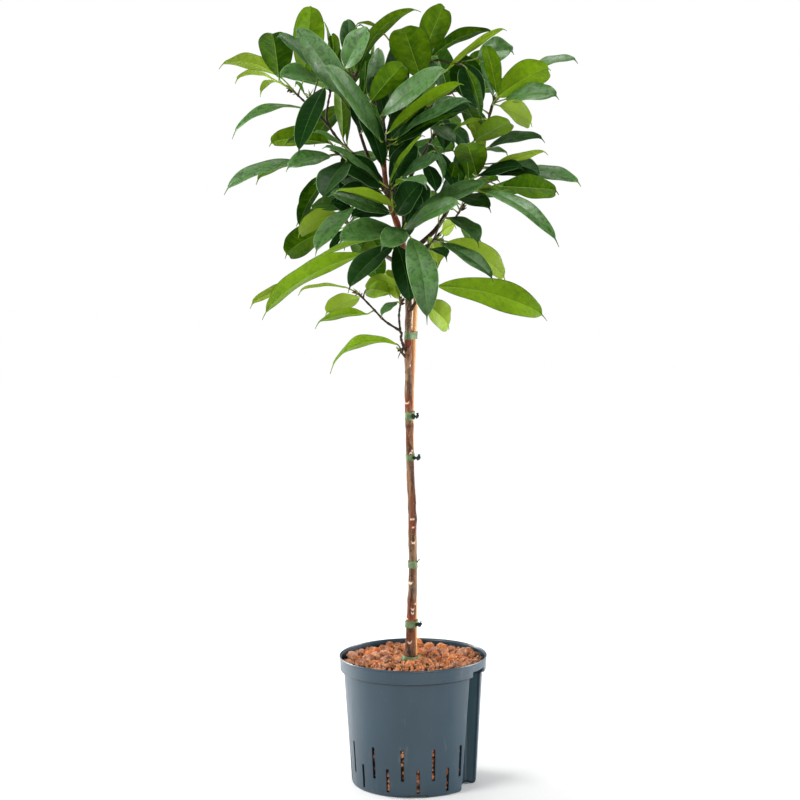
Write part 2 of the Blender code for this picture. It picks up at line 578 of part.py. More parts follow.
def leaf(name, spec, lines):
    """One leaf with its petiole, the root of the petiole sunk in the twig."""
    (bc, br, bd), (tc, tr, td), width, face, arch, sweep = spec
    base, tip = seen(bc, br, bd), seen(tc, tr, td)
    li, u, q, dist = nearest(deepen(base), lines)
    line = lines[li]
    back = min(0.35 * dist, 0.010) / max(np.linalg.norm(line[1] - line[0]), 0.004)
    root = along(line, float(np.clip(u - back, 0.12, len(line) - 1.02)))
    at, normal = leaf_line(base, tip, face, arch, sweep)
    rows = [(root, 0.5, 0.0, 0)]
    few = np.linalg.norm(at(1.0) - at(0.0)) < 0.100 or "back" in name
    rows += [(at(t), w, t, 1) for t, w in (SMALL if few else BLADE)]
    loops = []
    for i, (p, w, t, blade) in enumerate(rows):
        ahead = unit(rows[i + 1][0] - p) if i + 1 < len(rows) else np.zeros(3)
        behind = unit(p - rows[i - 1][0]) if i else np.zeros(3)
        tan = unit(ahead + behind)
        n = unit(normal - tan * normal.dot(tan))
        s = np.cross(tan, n)
        if blade and w > 0.1:
            half, lift = w * width * 0.0005, FOLD * w * width * 0.0005
            edge = mid = LEAF_T / 2
        else:
            half, lift = PETIOLE_R * (1.0 if i < 2 else 0.7), 0.0
            edge, mid = (0.0005, 0.0011) if i < 2 else (0.0004, 0.0005)
        loops.append([p - s * half + n * (lift + edge), p + n * mid, p + s * half + n * (lift + edge),
                      p + s * half + n * (lift - edge), p - n * mid, p - s * half + n * (lift - edge)])
    faces = []
    for i in range(0, 6 * (len(loops) - 1), 6):
        for tri in LEAF_TRIS:
            faces.append(tuple(i + v for v in tri))
    last = 6 * (len(loops) - 1)
    for a, b, c in ((0, 1, 5), (1, 4, 5), (1, 2, 4), (2, 3, 4)):
        faces += [(a, b, c), (last + a, last + b, last + c)]
    return solid(name, [p for loop in loops for p in loop], faces)


def seats():
    """Free ends of the trunk and its branches, each with the way that it points."""
    ends = [trunk_axis()[0][-2:]] + [[crown(*p[:3]) for p in b[-2:]] for b in BRANCHES]
    return [(end, unit(end - before)) for before, end in ends]


def spray(name, twigs, leaves):
    """Twigs and leaves of one shoot as one body, which grows on from the end of a branch."""
    lines = [[crown(*p) for p in twig] for twig in twigs]
    end, way = min(seats(), key=lambda s: float(np.linalg.norm(s[0] - lines[0][0])))
    lines[0][0] = end + way * GAP
    lit = 1.0 + 0.25 * float(np.clip(lines[0][-1][2] - 0.88, -0.15, 0.15)) / 0.15
    mat = material(name.replace("_", " "), (0.085 * lit, 0.20 * lit, 0.075 * lit), 0.38)
    parts = []
    for i, line in enumerate(lines):
        r0 = START_R[name] if i == 0 else 0.0016
        radii = np.linspace(r0, 0.0013, len(line))
        parts.append(tube(name, line, radii, 5, lead=None if i else way))
    for k, spec in enumerate(leaves):
        parts.append(leaf(f"{name}_{k}", spec, lines))
    return join(name, parts, mat)


# radius of each spray where it grows on from its branch
START_R = {"spray_left_high": 0.0022, "spray_left": 0.0020, "spray_leader": 0.0028,
           "spray_crown_left": 0.0020, "spray_middle": 0.0022, "spray_front": 0.0026,
           "spray_left_low": 0.0024, "spray_right_low": 0.0025, "spray_twig": 0.0020,
           "leaf_low": 0.0015, "spray_inner": 0.0021, "spray_right_twig": 0.0019,
           "spray_right": 0.0026, "spray_right_high": 0.0021,
           "spray_top": 0.0021, "spray_back_high": 0.0024, "spray_back_right": 0.0025,
           "spray_back_left": 0.0025, "spray_back_crown": 0.0022, "spray_back_rise": 0.0020}

STAKE = [(414.3, 600, 11), (413.2, 540, 11.5), (411.2, 450, 11), (411.8, 390, 10.5),
         (413.4, 345, 10), (415.2, 305, 9.5), (416.4, 276, 9.5)]
STAKE_R = 0.0040
STAKE_FOOT = (0.0018, 0.0122)
TAPE_GREEN = (0.20, 0.29, 0.17)


def bar_line(points):
    return [seen(c, r, d) for c, r, d in points]


def trunk_axis():
    foot = seen(409.6, 652, 0)
    line = [np.array([foot[0], 0.0, z]) for z in (0.070, 0.1900)] + [seen(410.6, 628, 0)]
    radii = [0.0076, 0.0076, 0.0066]
    for c, r, d, rad in TRUNK:
        line.append(seen(c, r, d))
        radii.append(rad * 0.001)
    return line, radii


def stake_axis():
    x, y = STAKE_FOOT
    return [np.array([x, y, 0.020]), np.array([x, y, 0.190])] + bar_line(STAKE)


def on_axis(line, z):
    """Place on an upright line at height z."""
    for a, b in zip(line, line[1:]):
        if a[2] <= z <= b[2]:
            return a + (b - a) * (z - a[2]) / (b[2] - a[2]), (z - a[2]) / (b[2] - a[2])
    return line[-1], 1.0


def tie(name, row, height, tail, mat):
    """Band of flat tape round trunk and stake, with the twisted end of the tape."""
    z = seen(410, row, -6)[2]
    tl, tr = trunk_axis()
    sl = stake_axis()
    loops = [[], [], [], []]
    n = 16
    r_trunk = 0.0
    for a, b, ra, rb in zip(tl, tl[1:], tr, tr[1:]):
        if a[2] <= z + height and b[2] >= z - height:
            r_trunk = max(r_trunk, ra, rb)
    lo, hi = z - height / 2, z + height / 2
    out = []
    for zz, grow in ((lo, 0.0), (hi, 0.0), (hi, TAPE_T), (lo, TAPE_T)):
        ct, cs = on_axis(tl, zz)[0], on_axis(sl, zz)[0]
        loop = []
        for k in range(n):
            a = 2 * math.pi * k / n
            d = np.array([math.cos(a), math.sin(a), 0.0])
            rt, rs = r_trunk + 0.0006 + grow, STAKE_R + 0.0006 + grow
            p = ct + d * rt if ct.dot(d) + rt > cs.dot(d) + rs else cs + d * rs
            loop.append(np.array([p[0], p[1], zz]))
        out.append(loop)
    band = rings(name, out, None, closed=True)
    parts = [band]
    if tail:
        ct = on_axis(tl, z)[0]
        start = ct + np.array([r_trunk + 0.0006, -0.004, 0.0])
        pts = [start, start + np.array([0.004, -0.003, 0.002]),
               start + np.array([0.008, -0.002, tail * 0.004])]
        parts.append(tube(name + "_end", pts, [0.0014, 0.0016, 0.0008], 5))
    return join(name, parts, mat)


def loose_tape(mat):
    """Length of tape lying round the foot of the trunk, its right end lifted."""
    tl, tr = trunk_axis()
    c = on_axis(tl, 0.185)[0]
    loops = []
    n = 9
    for k in range(n):
        f = k / (n - 1)
        a = math.radians(200 + 170 * f)
        r = 0.0105 + 0.006 * max(0.0, f - 0.6)
        z0 = BED_TOP + 0.0008 + 0.016 * max(0.0, f - 0.72) ** 1.2
        d = np.array([math.cos(a), math.sin(a), 0.0])
        lean = 0.0016
        loops.append([c * (1, 1, 0) + d * (r + lean) + np.array([0, 0, z0]),
                      c * (1, 1, 0) + d * (r + lean + TAPE_T) + np.array([0, 0, z0]),
                      c * (1, 1, 0) + d * (r + TAPE_T) + np.array([0, 0, z0 + 0.0095]),
                      c * (1, 1, 0) + d * r + np.array([0, 0, z0 + 0.0095])])
    ob = rings("tape_loose", loops, mat)
    return ob


def build():
    plastic = material("pot plastic", (0.075, 0.115, 0.135), 0.42)
    clay = material("fired clay", (0.52, 0.20, 0.09), 0.9)
    bark = material("bark", (0.17, 0.085, 0.055), 0.85)
    cane = material("cane", (0.60, 0.33, 0.12), 0.6)

    line, radii = trunk_axis()
    foot_r = radii[0]
    pot(plastic)
    granulate(clay, (line[0][0], 0.0, foot_r, 0.070), (*STAKE_FOOT, STAKE_R, 0.020))
    parts = [tube("trunk", line, radii, 8)]
    for i, branch in enumerate(BRANCHES):
        pts = [crown(c, r, d) for c, r, d, _ in branch]
        parts.append(tube(f"branch_{i}", pts, [b[3] * 0.001 for b in branch], 5))
    join("trunk", parts, bark)
    sl = stake_axis()
    tube("stake", sl, [STAKE_R] * len(sl), 10, cane)
    for i, (row, h, tail) in enumerate(((336, 0.011, 0), (416.5, 0.012, 1), (458, 0.009, 1),
                                        (565, 0.0105, 1), (624.8, 0.0095, 1))):
        tie(f"tie_{i + 1}", row, h, tail, material(f"tape {i + 1}", TAPE_GREEN, 0.55))
    loose_tape(material("loose tape", TAPE_GREEN, 0.55))
    for name, (twigs, leaves) in SPRAYS.items():
        spray(name, twigs, leaves)


build()
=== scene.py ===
"""Looks of a potted standard fig: leathery leaves, bark, cane, tapes, clay pebbles and a culture pot.

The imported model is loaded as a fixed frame, and a finer piece stands for every solid of it, in
metres, +Z up and -Y to the front. The plant was laid out on a front elevation: twigs and leaves
are given by a column and a row of it and by their depth behind the trunk.
"""
import logging
import math
from dataclasses import dataclass, field
from enum import Enum

import bmesh
import bpy
import numpy as np
from mathutils import Matrix


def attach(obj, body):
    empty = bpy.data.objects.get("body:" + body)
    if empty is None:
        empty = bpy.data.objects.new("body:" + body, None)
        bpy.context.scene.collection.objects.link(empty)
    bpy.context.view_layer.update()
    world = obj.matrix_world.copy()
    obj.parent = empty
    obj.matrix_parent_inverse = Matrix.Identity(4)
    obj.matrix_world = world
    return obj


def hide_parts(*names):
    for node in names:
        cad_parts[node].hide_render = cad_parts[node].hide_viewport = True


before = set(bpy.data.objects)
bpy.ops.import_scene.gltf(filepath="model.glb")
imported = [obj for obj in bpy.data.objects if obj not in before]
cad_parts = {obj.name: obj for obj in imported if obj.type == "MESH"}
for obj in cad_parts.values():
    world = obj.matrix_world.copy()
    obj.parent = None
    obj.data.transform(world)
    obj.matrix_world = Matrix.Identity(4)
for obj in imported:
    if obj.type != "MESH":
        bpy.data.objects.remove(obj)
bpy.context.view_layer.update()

LOG = logging.getLogger("fig")
ROOT = "root"
# In metres: a millimetre, a column of the elevation at the trunk, and the top of the pebbles.
MM = 0.001
COLUMN = 1.0 / 676
BED_TOP = 0.1850

# names of types that come up often
Array = np.ndarray
Finish = bpy.types.Material
Piece = bpy.types.Object
Socket = bpy.types.NodeSocket
Chance = np.random.Generator
Colour = tuple[float, float, float]
Reading = tuple[float, float, float]


@dataclass(frozen=True)
class Elevation:
    """The front elevation that the plant was laid out on, and the eye that it was seen from."""

    eye: Reading = (0.0, -3.20, 0.933)
    focus: float = 2207.0
    middle: float = 400.0
    width: float = 800.0
    pitch: float = math.radians(6.47)
    turn: float = math.radians(-0.288)
    roll: float = math.radians(-0.488)
    front_spread: float = 1.7
    back_spread: float = 1.2
    spread_reach: float = 0.04

    def axes(self) -> tuple[Array, Array, Array]:
        """Directions of the elevation.

        Returns:
            The unit vectors to the right, upwards and away from the eye.
        """
        ahead = np.array([math.sin(self.turn) * math.cos(self.pitch),
                          math.cos(self.turn) * math.cos(self.pitch), -math.sin(self.pitch)])
        level = np.array([math.cos(self.turn), -math.sin(self.turn), 0.0])
        above = np.cross(level, ahead)
        right = math.cos(self.roll) * level + math.sin(self.roll) * above
        up = -math.sin(self.roll) * level + math.cos(self.roll) * above
        return right, up, ahead

    def seen(self, column: float, row: float, depth: float = 0.0) -> Array:
        """Point where a sight line meets the upright plane at a depth behind the trunk.

        Args:
            column: Column of the elevation.
            row: Row of the elevation.
            depth: Millimetres behind the trunk's own plane.

        Returns:
            The point in metres.
        """
        right, up, ahead = self.axes()
        ray = ahead + (right * (column - self.middle) - up * (row - self.middle)) / self.focus
        eye = np.array(self.eye)
        return eye + ray * (depth * MM - eye[1]) / ray[1]

    def deepen(self, points: Array) -> Array:
        """Push points along their sight lines, so that the crown is about as deep as it is wide.

        The new depth is the old one times a factor that goes smoothly from the front spread
        to the back spread, as a hyperbolic tangent of the depth.

        Args:
            points: Array of points, the last axis being x, y, z.

        Returns:
            The moved points.
        """
        eye = np.array(self.eye)
        mean = (self.front_spread + self.back_spread) / 2
        half = (self.front_spread - self.back_spread) / 2
        y = points[..., 1:2]
        far = y * (mean - half * np.tanh(y / self.spread_reach))
        return eye + (points - eye) * (far - eye[1]) / (y - eye[1])

    def lines(self, readings: list) -> Array:
        """Points of the crown for a list of readings."""
        return np.array([self.deepen(self.seen(*r[:3])) for r in readings])


VIEW = Elevation()


def unit(v: Array) -> Array:
    """Vectors brought to length one along their last axis."""
    v = np.asarray(v, float)
    return v / np.maximum(np.linalg.norm(v, axis=-1, keepdims=True), 1e-12)


def spline(points: Array, count: int) -> Array:
    """Catmull-Rom curve: on each leg a cubic whose end slopes join the neighbouring points.

    Args:
        points: Points or rows of values to pass through, one a row.
        count: Number of rows to return, evenly spaced in the curve's parameter.

    Returns:
        The rows along the curve.
    """
    points = np.asarray(points, float)
    ends = np.vstack([2 * points[:1] - points[1:2], points, 2 * points[-1:] - points[-2:-1]])
    u = np.linspace(0, len(points) - 1, count)
    k = np.minimum(u.astype(int), len(points) - 2)
    s = (u - k)[:, None]
    a, b, c, d = ends[k], ends[k + 1], ends[k + 2], ends[k + 3]
    return 0.5 * (2 * b + (c - a) * s + (2 * a - 5 * b + 4 * c - d) * s**2
                  + (3 * b - a - 3 * c + d) * s**3)


def smoothstep(low: float, high: float, value: Array) -> Array:
    """Cubic ramp: nought at low, one at high, level at both ends."""
    s = np.clip((value - low) / (high - low), 0.0, 1.0)
    return s * s * (3 - 2 * s)


def bell(value: Array, width: float) -> Array:
    """Bell curve of a value: one at nought, falling off over a width."""
    return np.exp(-(np.asarray(value) / width) ** 2)


def rings_along(line: Array, radii: Array, sides: int, flat: float = 1.0, twist: float = 0.0) -> Array:
    """Rings of points round a line: the line plus radius times a turning unit vector.

    Args:
        line: Points of the line, one a row.
        radii: Radius at each point.
        sides: Points in a ring.
        flat: Ratio of a ring's smaller to its larger width.
        twist: Whole turns that the rings make from one end to the other.

    Returns:
        Array of rings, points in a ring and coordinates.
    """
    ahead = unit(np.gradient(line, axis=0))
    # one direction across is square to the axis of space that the line keeps furthest from
    side = unit(np.cross(ahead, np.eye(3)[np.argmin(np.abs(ahead).max(axis=0))]))
    other = np.cross(ahead, side)
    around = 2 * np.pi * np.arange(sides) / sides
    turn = 2 * np.pi * twist * np.linspace(0, 1, len(line))[:, None]
    major, minor = np.cos(around)[None, :], flat * np.sin(around)[None, :]
    along_side = major * np.cos(turn) - minor * np.sin(turn)
    along_other = major * np.sin(turn) + minor * np.cos(turn)
    radii = np.broadcast_to(np.asarray(radii, float), (len(line),))[:, None, None]
    return line[:, None, :] + radii * (along_side[..., None] * side[:, None, :]
                                       + along_other[..., None] * other[:, None, :])


def turns(count: int) -> Array:
    """Evenly spaced angles round a circle, in radians."""
    return np.linspace(0, 2 * np.pi, count, endpoint=False)


def middle_at(path: Array, z: Array | float) -> Array:
    """Place in plan where an upright path passes some heights."""
    return np.stack([np.interp(z, path[:, 2], path[:, k]) for k in (0, 1)], -1)


def stand(name: str, data: bpy.types.ID) -> Piece:
    """Put an object with its data into the scene."""
    ob = bpy.data.objects.new(name, data)
    bpy.context.scene.collection.objects.link(ob)
    return ob


@dataclass
class Shape:
    """Closed patches of one piece, gathered as whole arrays before the mesh is made.

    Attributes:
        note_names: Point attributes that the finishes read, three numbers a point.
        patches: Points, quads, triangles, finishes of both, and notes of each patch.
    """

    note_names: tuple[str, ...] = ()
    patches: list[tuple] = field(default_factory=list)

    def add(self, points: Array, quads: Array, triangles: Array,
            quad_finish: Array | int = 0, triangle_finish: Array | int = 0, **notes: Array) -> None:
        """Take in one patch.

        Args:
            points: Points, one a row.
            quads: Rows of four point numbers.
            triangles: Rows of three point numbers.
            quad_finish: Finish number of each quad, or one for all.
            triangle_finish: Finish number of each triangle, or one for all.
            **notes: Point attributes by name, three numbers a point or one row for all.
        """
        noted = [np.broadcast_to(notes.get(name, np.zeros(3)), (len(points), 3)) for name in self.note_names]
        self.patches.append((points, quads, triangles, np.broadcast_to(quad_finish, len(quads)),
                             np.broadcast_to(triangle_finish, len(triangles)), *noted))

    def loft(self, rings: Array, finish: Array | int = 0, closed: bool = False, **notes: Array) -> None:
        """Close a patch through rings: quads between neighbouring rings, a pole at each end.

        The faces are turned outwards by the sign of the patch's volume, a sum of triple products.

        Args:
            rings: Array of rings, points in a ring and coordinates.
            finish: Finish number, or one for each gap between the points of a ring.
            closed: Whether the last ring joins the first, so that there are no poles.
            **notes: Point attributes by name, in the shape of the rings, or one row for all.
        """
        n, m = rings.shape[:2]
        rows = n if closed else n - 1
        i, k = np.meshgrid(np.arange(rows), np.arange(m), indexing="ij")
        j, l = (i + 1) % n, (k + 1) % m
        quads = np.stack([i * m + k, i * m + l, j * m + l, j * m + k], -1).reshape(-1, 4)
        flat = {name: note.reshape(-1, 3) if note.ndim == 3 else note for name, note in notes.items()}
        points = rings.reshape(-1, 3)
        finish = np.broadcast_to(finish, (m,))
        triangles = np.zeros((0, 3), int)
        if not closed:
            k, l = k[0], l[0]
            points = np.vstack([points, rings[0].mean(0), rings[-1].mean(0)])
            first = np.stack([np.full(m, n * m), l, k], -1)
            last = np.stack([np.full(m, n * m + 1), (n - 1) * m + k, (n - 1) * m + l], -1)
            triangles = np.vstack([first, last])
            for name, note in flat.items():
                if note.ndim == 2:
                    flat[name] = np.vstack([note, note[:m].mean(0), note[-m:].mean(0)])
        halves = np.vstack([quads[:, :3], quads[:, [0, 2, 3]], triangles])
        local = points - points.mean(0)
        a, b, c = local[halves[:, 0]], local[halves[:, 1]], local[halves[:, 2]]
        if np.einsum("ij,ij->", a, np.cross(b, c)) < 0:
            quads, triangles = quads[:, ::-1], triangles[:, ::-1]
        self.add(points, quads, triangles, np.tile(finish, rows),
                 np.tile(finish, 0 if closed else 2), **flat)

    def build(self, name: str, materials: list[Finish], sharp: float | None = None) -> Piece:
        """Make the object out of the patches.

        Args:
            name: Name of the object and its mesh.
            materials: Materials by finish number.
            sharp: Angle in degrees past which an edge is drawn sharp, or None for none.

        Returns:
            The new object, at the origin.
        """
        parts = list(zip(*self.patches))
        first = np.cumsum([0] + [len(part) for part in parts[0]])
        quads, triangles = (np.vstack([part + n for part, n in zip(faces, first)]) for faces in parts[1:3])
        points = np.vstack(parts[0])
        mesh = bpy.data.meshes.new(name)
        mesh.vertices.add(len(points))
        mesh.vertices.foreach_set("co", points.astype(np.float32).ravel())
        corners = np.concatenate([quads.ravel(), triangles.ravel()])
        mesh.loops.add(len(corners))
        mesh.loops.foreach_set("vertex_index", corners.astype(np.int32))
        mesh.polygons.add(len(quads) + len(triangles))
        starts = np.concatenate([4 * np.arange(len(quads)), 4 * len(quads) + 3 * np.arange(len(triangles))])
        mesh.polygons.foreach_set("loop_start", starts.astype(np.int32))
        finish = np.concatenate(parts[3] + parts[4])
        mesh.polygons.foreach_set("material_index", finish.astype(np.int32))
        for note, values in zip(self.note_names, parts[5:]):
            layer = mesh.attributes.new(note, "FLOAT_VECTOR", "POINT")
            layer.data.foreach_set("vector", np.vstack(values).astype(np.float32).ravel())
        for mat in materials:
            mesh.materials.append(mat)
        mesh.update(calc_edges=True)
        mesh.shade_smooth()
        if sharp is not None:
            mesh.set_sharp_from_angle(angle=math.radians(sharp))
        return stand(name, mesh)


def place(ob: Piece, slot: str, *nodes: str) -> Piece:
    """Let a piece ride on the part and stand for its solids.

    Args:
        ob: The finished piece.
        slot: Name of the record's material slot; not used.
        *nodes: The CAD nodes that the piece stands for.

    Returns:
        The same piece.
    """
    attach(ob, ROOT)
    if nodes:
        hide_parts(*nodes)
    faces = sum(len(p.vertices) - 2 for p in ob.data.polygons)
    LOG.info("%s: %d triangles, stands for %s", ob.name, faces, ", ".join(nodes) or "none")
    return ob


class Graph:
    """Node tree of one material, with short ways to add nodes and join them."""

    def __init__(self, name: str, roughness: float, specular: float = 0.5, coat: float = 0.0) -> None:
        """Start a material with its constant values on the shader's own sockets.

        Args:
            name: Name of the material.
            roughness: Roughness of its shader.
            specular: Strength of its plain reflection.
            coat: Weight of a clear coat.
        """
        self.material = bpy.data.materials.new(name)
        self.material.use_nodes = True
        self.tree = self.material.node_tree
        self.shader = self.tree.nodes["Principled BSDF"]
        self.shader.inputs["Roughness"].default_value = roughness
        self.shader.inputs["Specular IOR Level"].default_value = specular
        self.shader.inputs["Coat Weight"].default_value = coat
        self.shader.inputs["Coat Roughness"].default_value = 0.3
        self.place = self.add("ShaderNodeTexCoord").outputs["Object"]

    def add(self, kind: str, inputs: dict | None = None, **settings: object) -> bpy.types.Node:
        """Add a node, set its properties, and join or set its inputs by name or number."""
        node = self.tree.nodes.new(kind)
        for key, value in settings.items():
            setattr(node, key, value)
        for key, value in (inputs or {}).items():
            self.put(node.inputs[key], value)
        return node

    def put(self, socket: Socket, value: object) -> None:
        """Join a socket to another one, or set its own value."""
        if isinstance(value, Socket):
            self.tree.links.new(value, socket)
        elif isinstance(value, tuple) and socket.type == "RGBA":
            socket.default_value = (*value, 1.0)
        else:
            socket.default_value = value

    def math(self, operation: str, a: object, b: object = 0.0, c: object = 0.0) -> Socket:
        """Outcome of one arithmetic step on up to three values."""
        return self.add("ShaderNodeMath", {0: a, 1: b, 2: c}, operation=operation).outputs[0]

    def span(self, value: object, low: float, high: float, start: float = 0.0, end: float = 1.0) -> Socket:
        """Smooth ramp of a value from start at low to end at high."""
        ends = {"Value": value, "From Min": low, "From Max": high, "To Min": start, "To Max": end}
        return self.add("ShaderNodeMapRange", ends, interpolation_type="SMOOTHSTEP").outputs[0]

    def mix(self, share: object, a: object, b: object) -> Socket:
        """Mix of two colours, a share of the second laid over the first."""
        return self.add("ShaderNodeMix", {0: share, 6: a, 7: b}, data_type="RGBA").outputs[2]

    def note(self, name: str) -> tuple[Socket, ...]:
        """The three numbers of a point attribute."""
        source = self.add("ShaderNodeAttribute", attribute_name=name)
        return tuple(self.add("ShaderNodeSeparateXYZ", {0: source.outputs["Vector"]}).outputs)

    def noise(self, scale: float, detail: float = 3.0, rough: float = 0.5,
              stretch: Reading = (1.0, 1.0, 1.0), warp: float = 0.0) -> Socket:
        """Cloudy pattern on the part's own coordinates.

        Args:
            scale: Number of clouds in a metre.
            detail: How many finer layers it has.
            rough: Strength of the finer layers.
            stretch: Factors on x, y and z, below one where the clouds are drawn long.
            warp: How far the pattern bends itself.

        Returns:
            A value from nought to one.
        """
        turn = self.add("ShaderNodeMapping", {"Vector": self.place, "Scale": stretch})
        look = {"Vector": turn.outputs[0], "Scale": scale, "Detail": detail, "Roughness": rough,
                "Distortion": warp}
        return self.add("ShaderNodeTexNoise", look).outputs["Fac"]

    def bump(self, height: object, depth: float, strength: float = 1.0) -> None:
        """Raise the surface by a height from nought to one times a depth in metres."""
        node = self.add("ShaderNodeBump", {"Strength": strength, "Distance": depth, "Height": height})
        before = self.shader.inputs["Normal"]
        if before.is_linked:
            self.put(node.inputs["Normal"], before.links[0].from_socket)
        self.put(before, node.outputs[0])

    def finish(self, colour: object, roughness: object = None) -> Finish:
        """Join the colour, and the roughness if it varies, and give the material back."""
        self.put(self.shader.inputs["Base Color"], colour)
        if roughness is not None:
            self.put(self.shader.inputs["Roughness"], roughness)
        return self.material


# Readings of the trunk and its branches: column, row, depth and radius in millimetres.
TRUNK = [(412.0, 600, 0, 6.1), (412.8, 565, 0, 5.8), (412.4, 520, 0, 5.8), (410.2, 465, 0, 5.4),
         (409.3, 430, 0, 5.4), (408.4, 390, 0, 5.3), (408.2, 345, 0, 5.0), (408.6, 310, 2, 4.8),
         (407.5, 280, 4, 4.8), (404.0, 252, 4, 4.6), (399.0, 230, 2, 4.5), (392.5, 211, 0, 4.0),
         (387.0, 192, -2, 3.8), (384.0, 165, -3, 3.4), (384.0, 143, -4, 3.0)]
BRANCHES = [
    [(404, 256, 5, 4.0), (420, 244, 16, 3.6), (436, 229, 28, 3.3), (447, 211, 34, 3.0),
     (456, 190, 36, 2.8)],
    [(447, 211, 34, 2.8), (466, 176, 62, 2.6), (480, 148, 60, 2.4), (488, 124, 46, 2.2)],
    [(403, 250, 5, 3.6), (386, 233, 22, 3.0), (366, 217, 24, 2.7), (354, 210, 16, 2.5)],
    [(388, 195, -2, 3.2), (372, 173, 6, 2.8), (358, 158, 8, 2.6), (347, 149, 8, 2.4)],
    [(362, 163, 8, 2.4), (352, 161, -4, 2.2)],
    [(384, 160, -3, 2.8), (390, 138, 20, 2.6), (403, 106, 44, 2.4), (416, 84, 52, 2.2)],
    [(392, 208, 1, 3.0), (406, 184, 18, 2.6), (419, 162, 24, 2.3)],
    [(386, 186, 0, 2.8), (371, 163, 22, 2.5), (361, 136, 26, 2.3), (356, 116, 24, 2.1)],
    [(388, 194, -2, 3.0), (391, 192, -12, 2.4)],
    [(400, 235, 2, 3.4), (401, 235, -12, 2.8)],
    [(405, 262, 4, 3.2), (418, 256, -6, 2.8), (428, 246, -12, 2.6)],
    [(407, 352, 0, 3.0), (403.0, 344.5, -5, 2.3)],
    [(407.5, 359, 0, 2.6), (402.6, 353.5, -4, 1.7)],
    [(408.5, 314, 2, 3.0), (415, 303, -3, 2.2)],
    [(402, 244, 4, 3.8), (404, 224, 46, 3.2), (402, 196, 82, 2.8), (398, 170, 100, 2.5)],
    [(404, 258, 5, 3.6), (424, 250, 54, 3.0), (440, 234, 92, 2.6)],
    [(405, 266, 4, 3.6), (386, 256, 54, 3.0), (368, 240, 90, 2.6)],
    [(384, 170, -2, 2.8), (376, 146, 40, 2.5), (366, 118, 78, 2.3)],
    [(390, 140, 22, 2.4), (412, 122, 74, 2.3), (432, 106, 100, 2.1)],
]

STAKE = [(414.3, 600, 11), (413.2, 540, 11.5), (411.2, 450, 11), (411.8, 390, 10.5),
         (413.4, 345, 10), (415.2, 305, 9.5), (416.4, 276, 9.5)]


class Tone(Enum):
    """How lit or shaded a leaf is painted, and how fresh it is."""

    DEEP = (-0.8, 0.0)
    DIM = (-0.32, 0.0)
    PLAIN = (0.05, 0.0)
    LIT = (0.5, 0.05)
    FRESH = (0.5, 0.6)


DEEP, DIM, PLAIN, LIT, FRESH = Tone
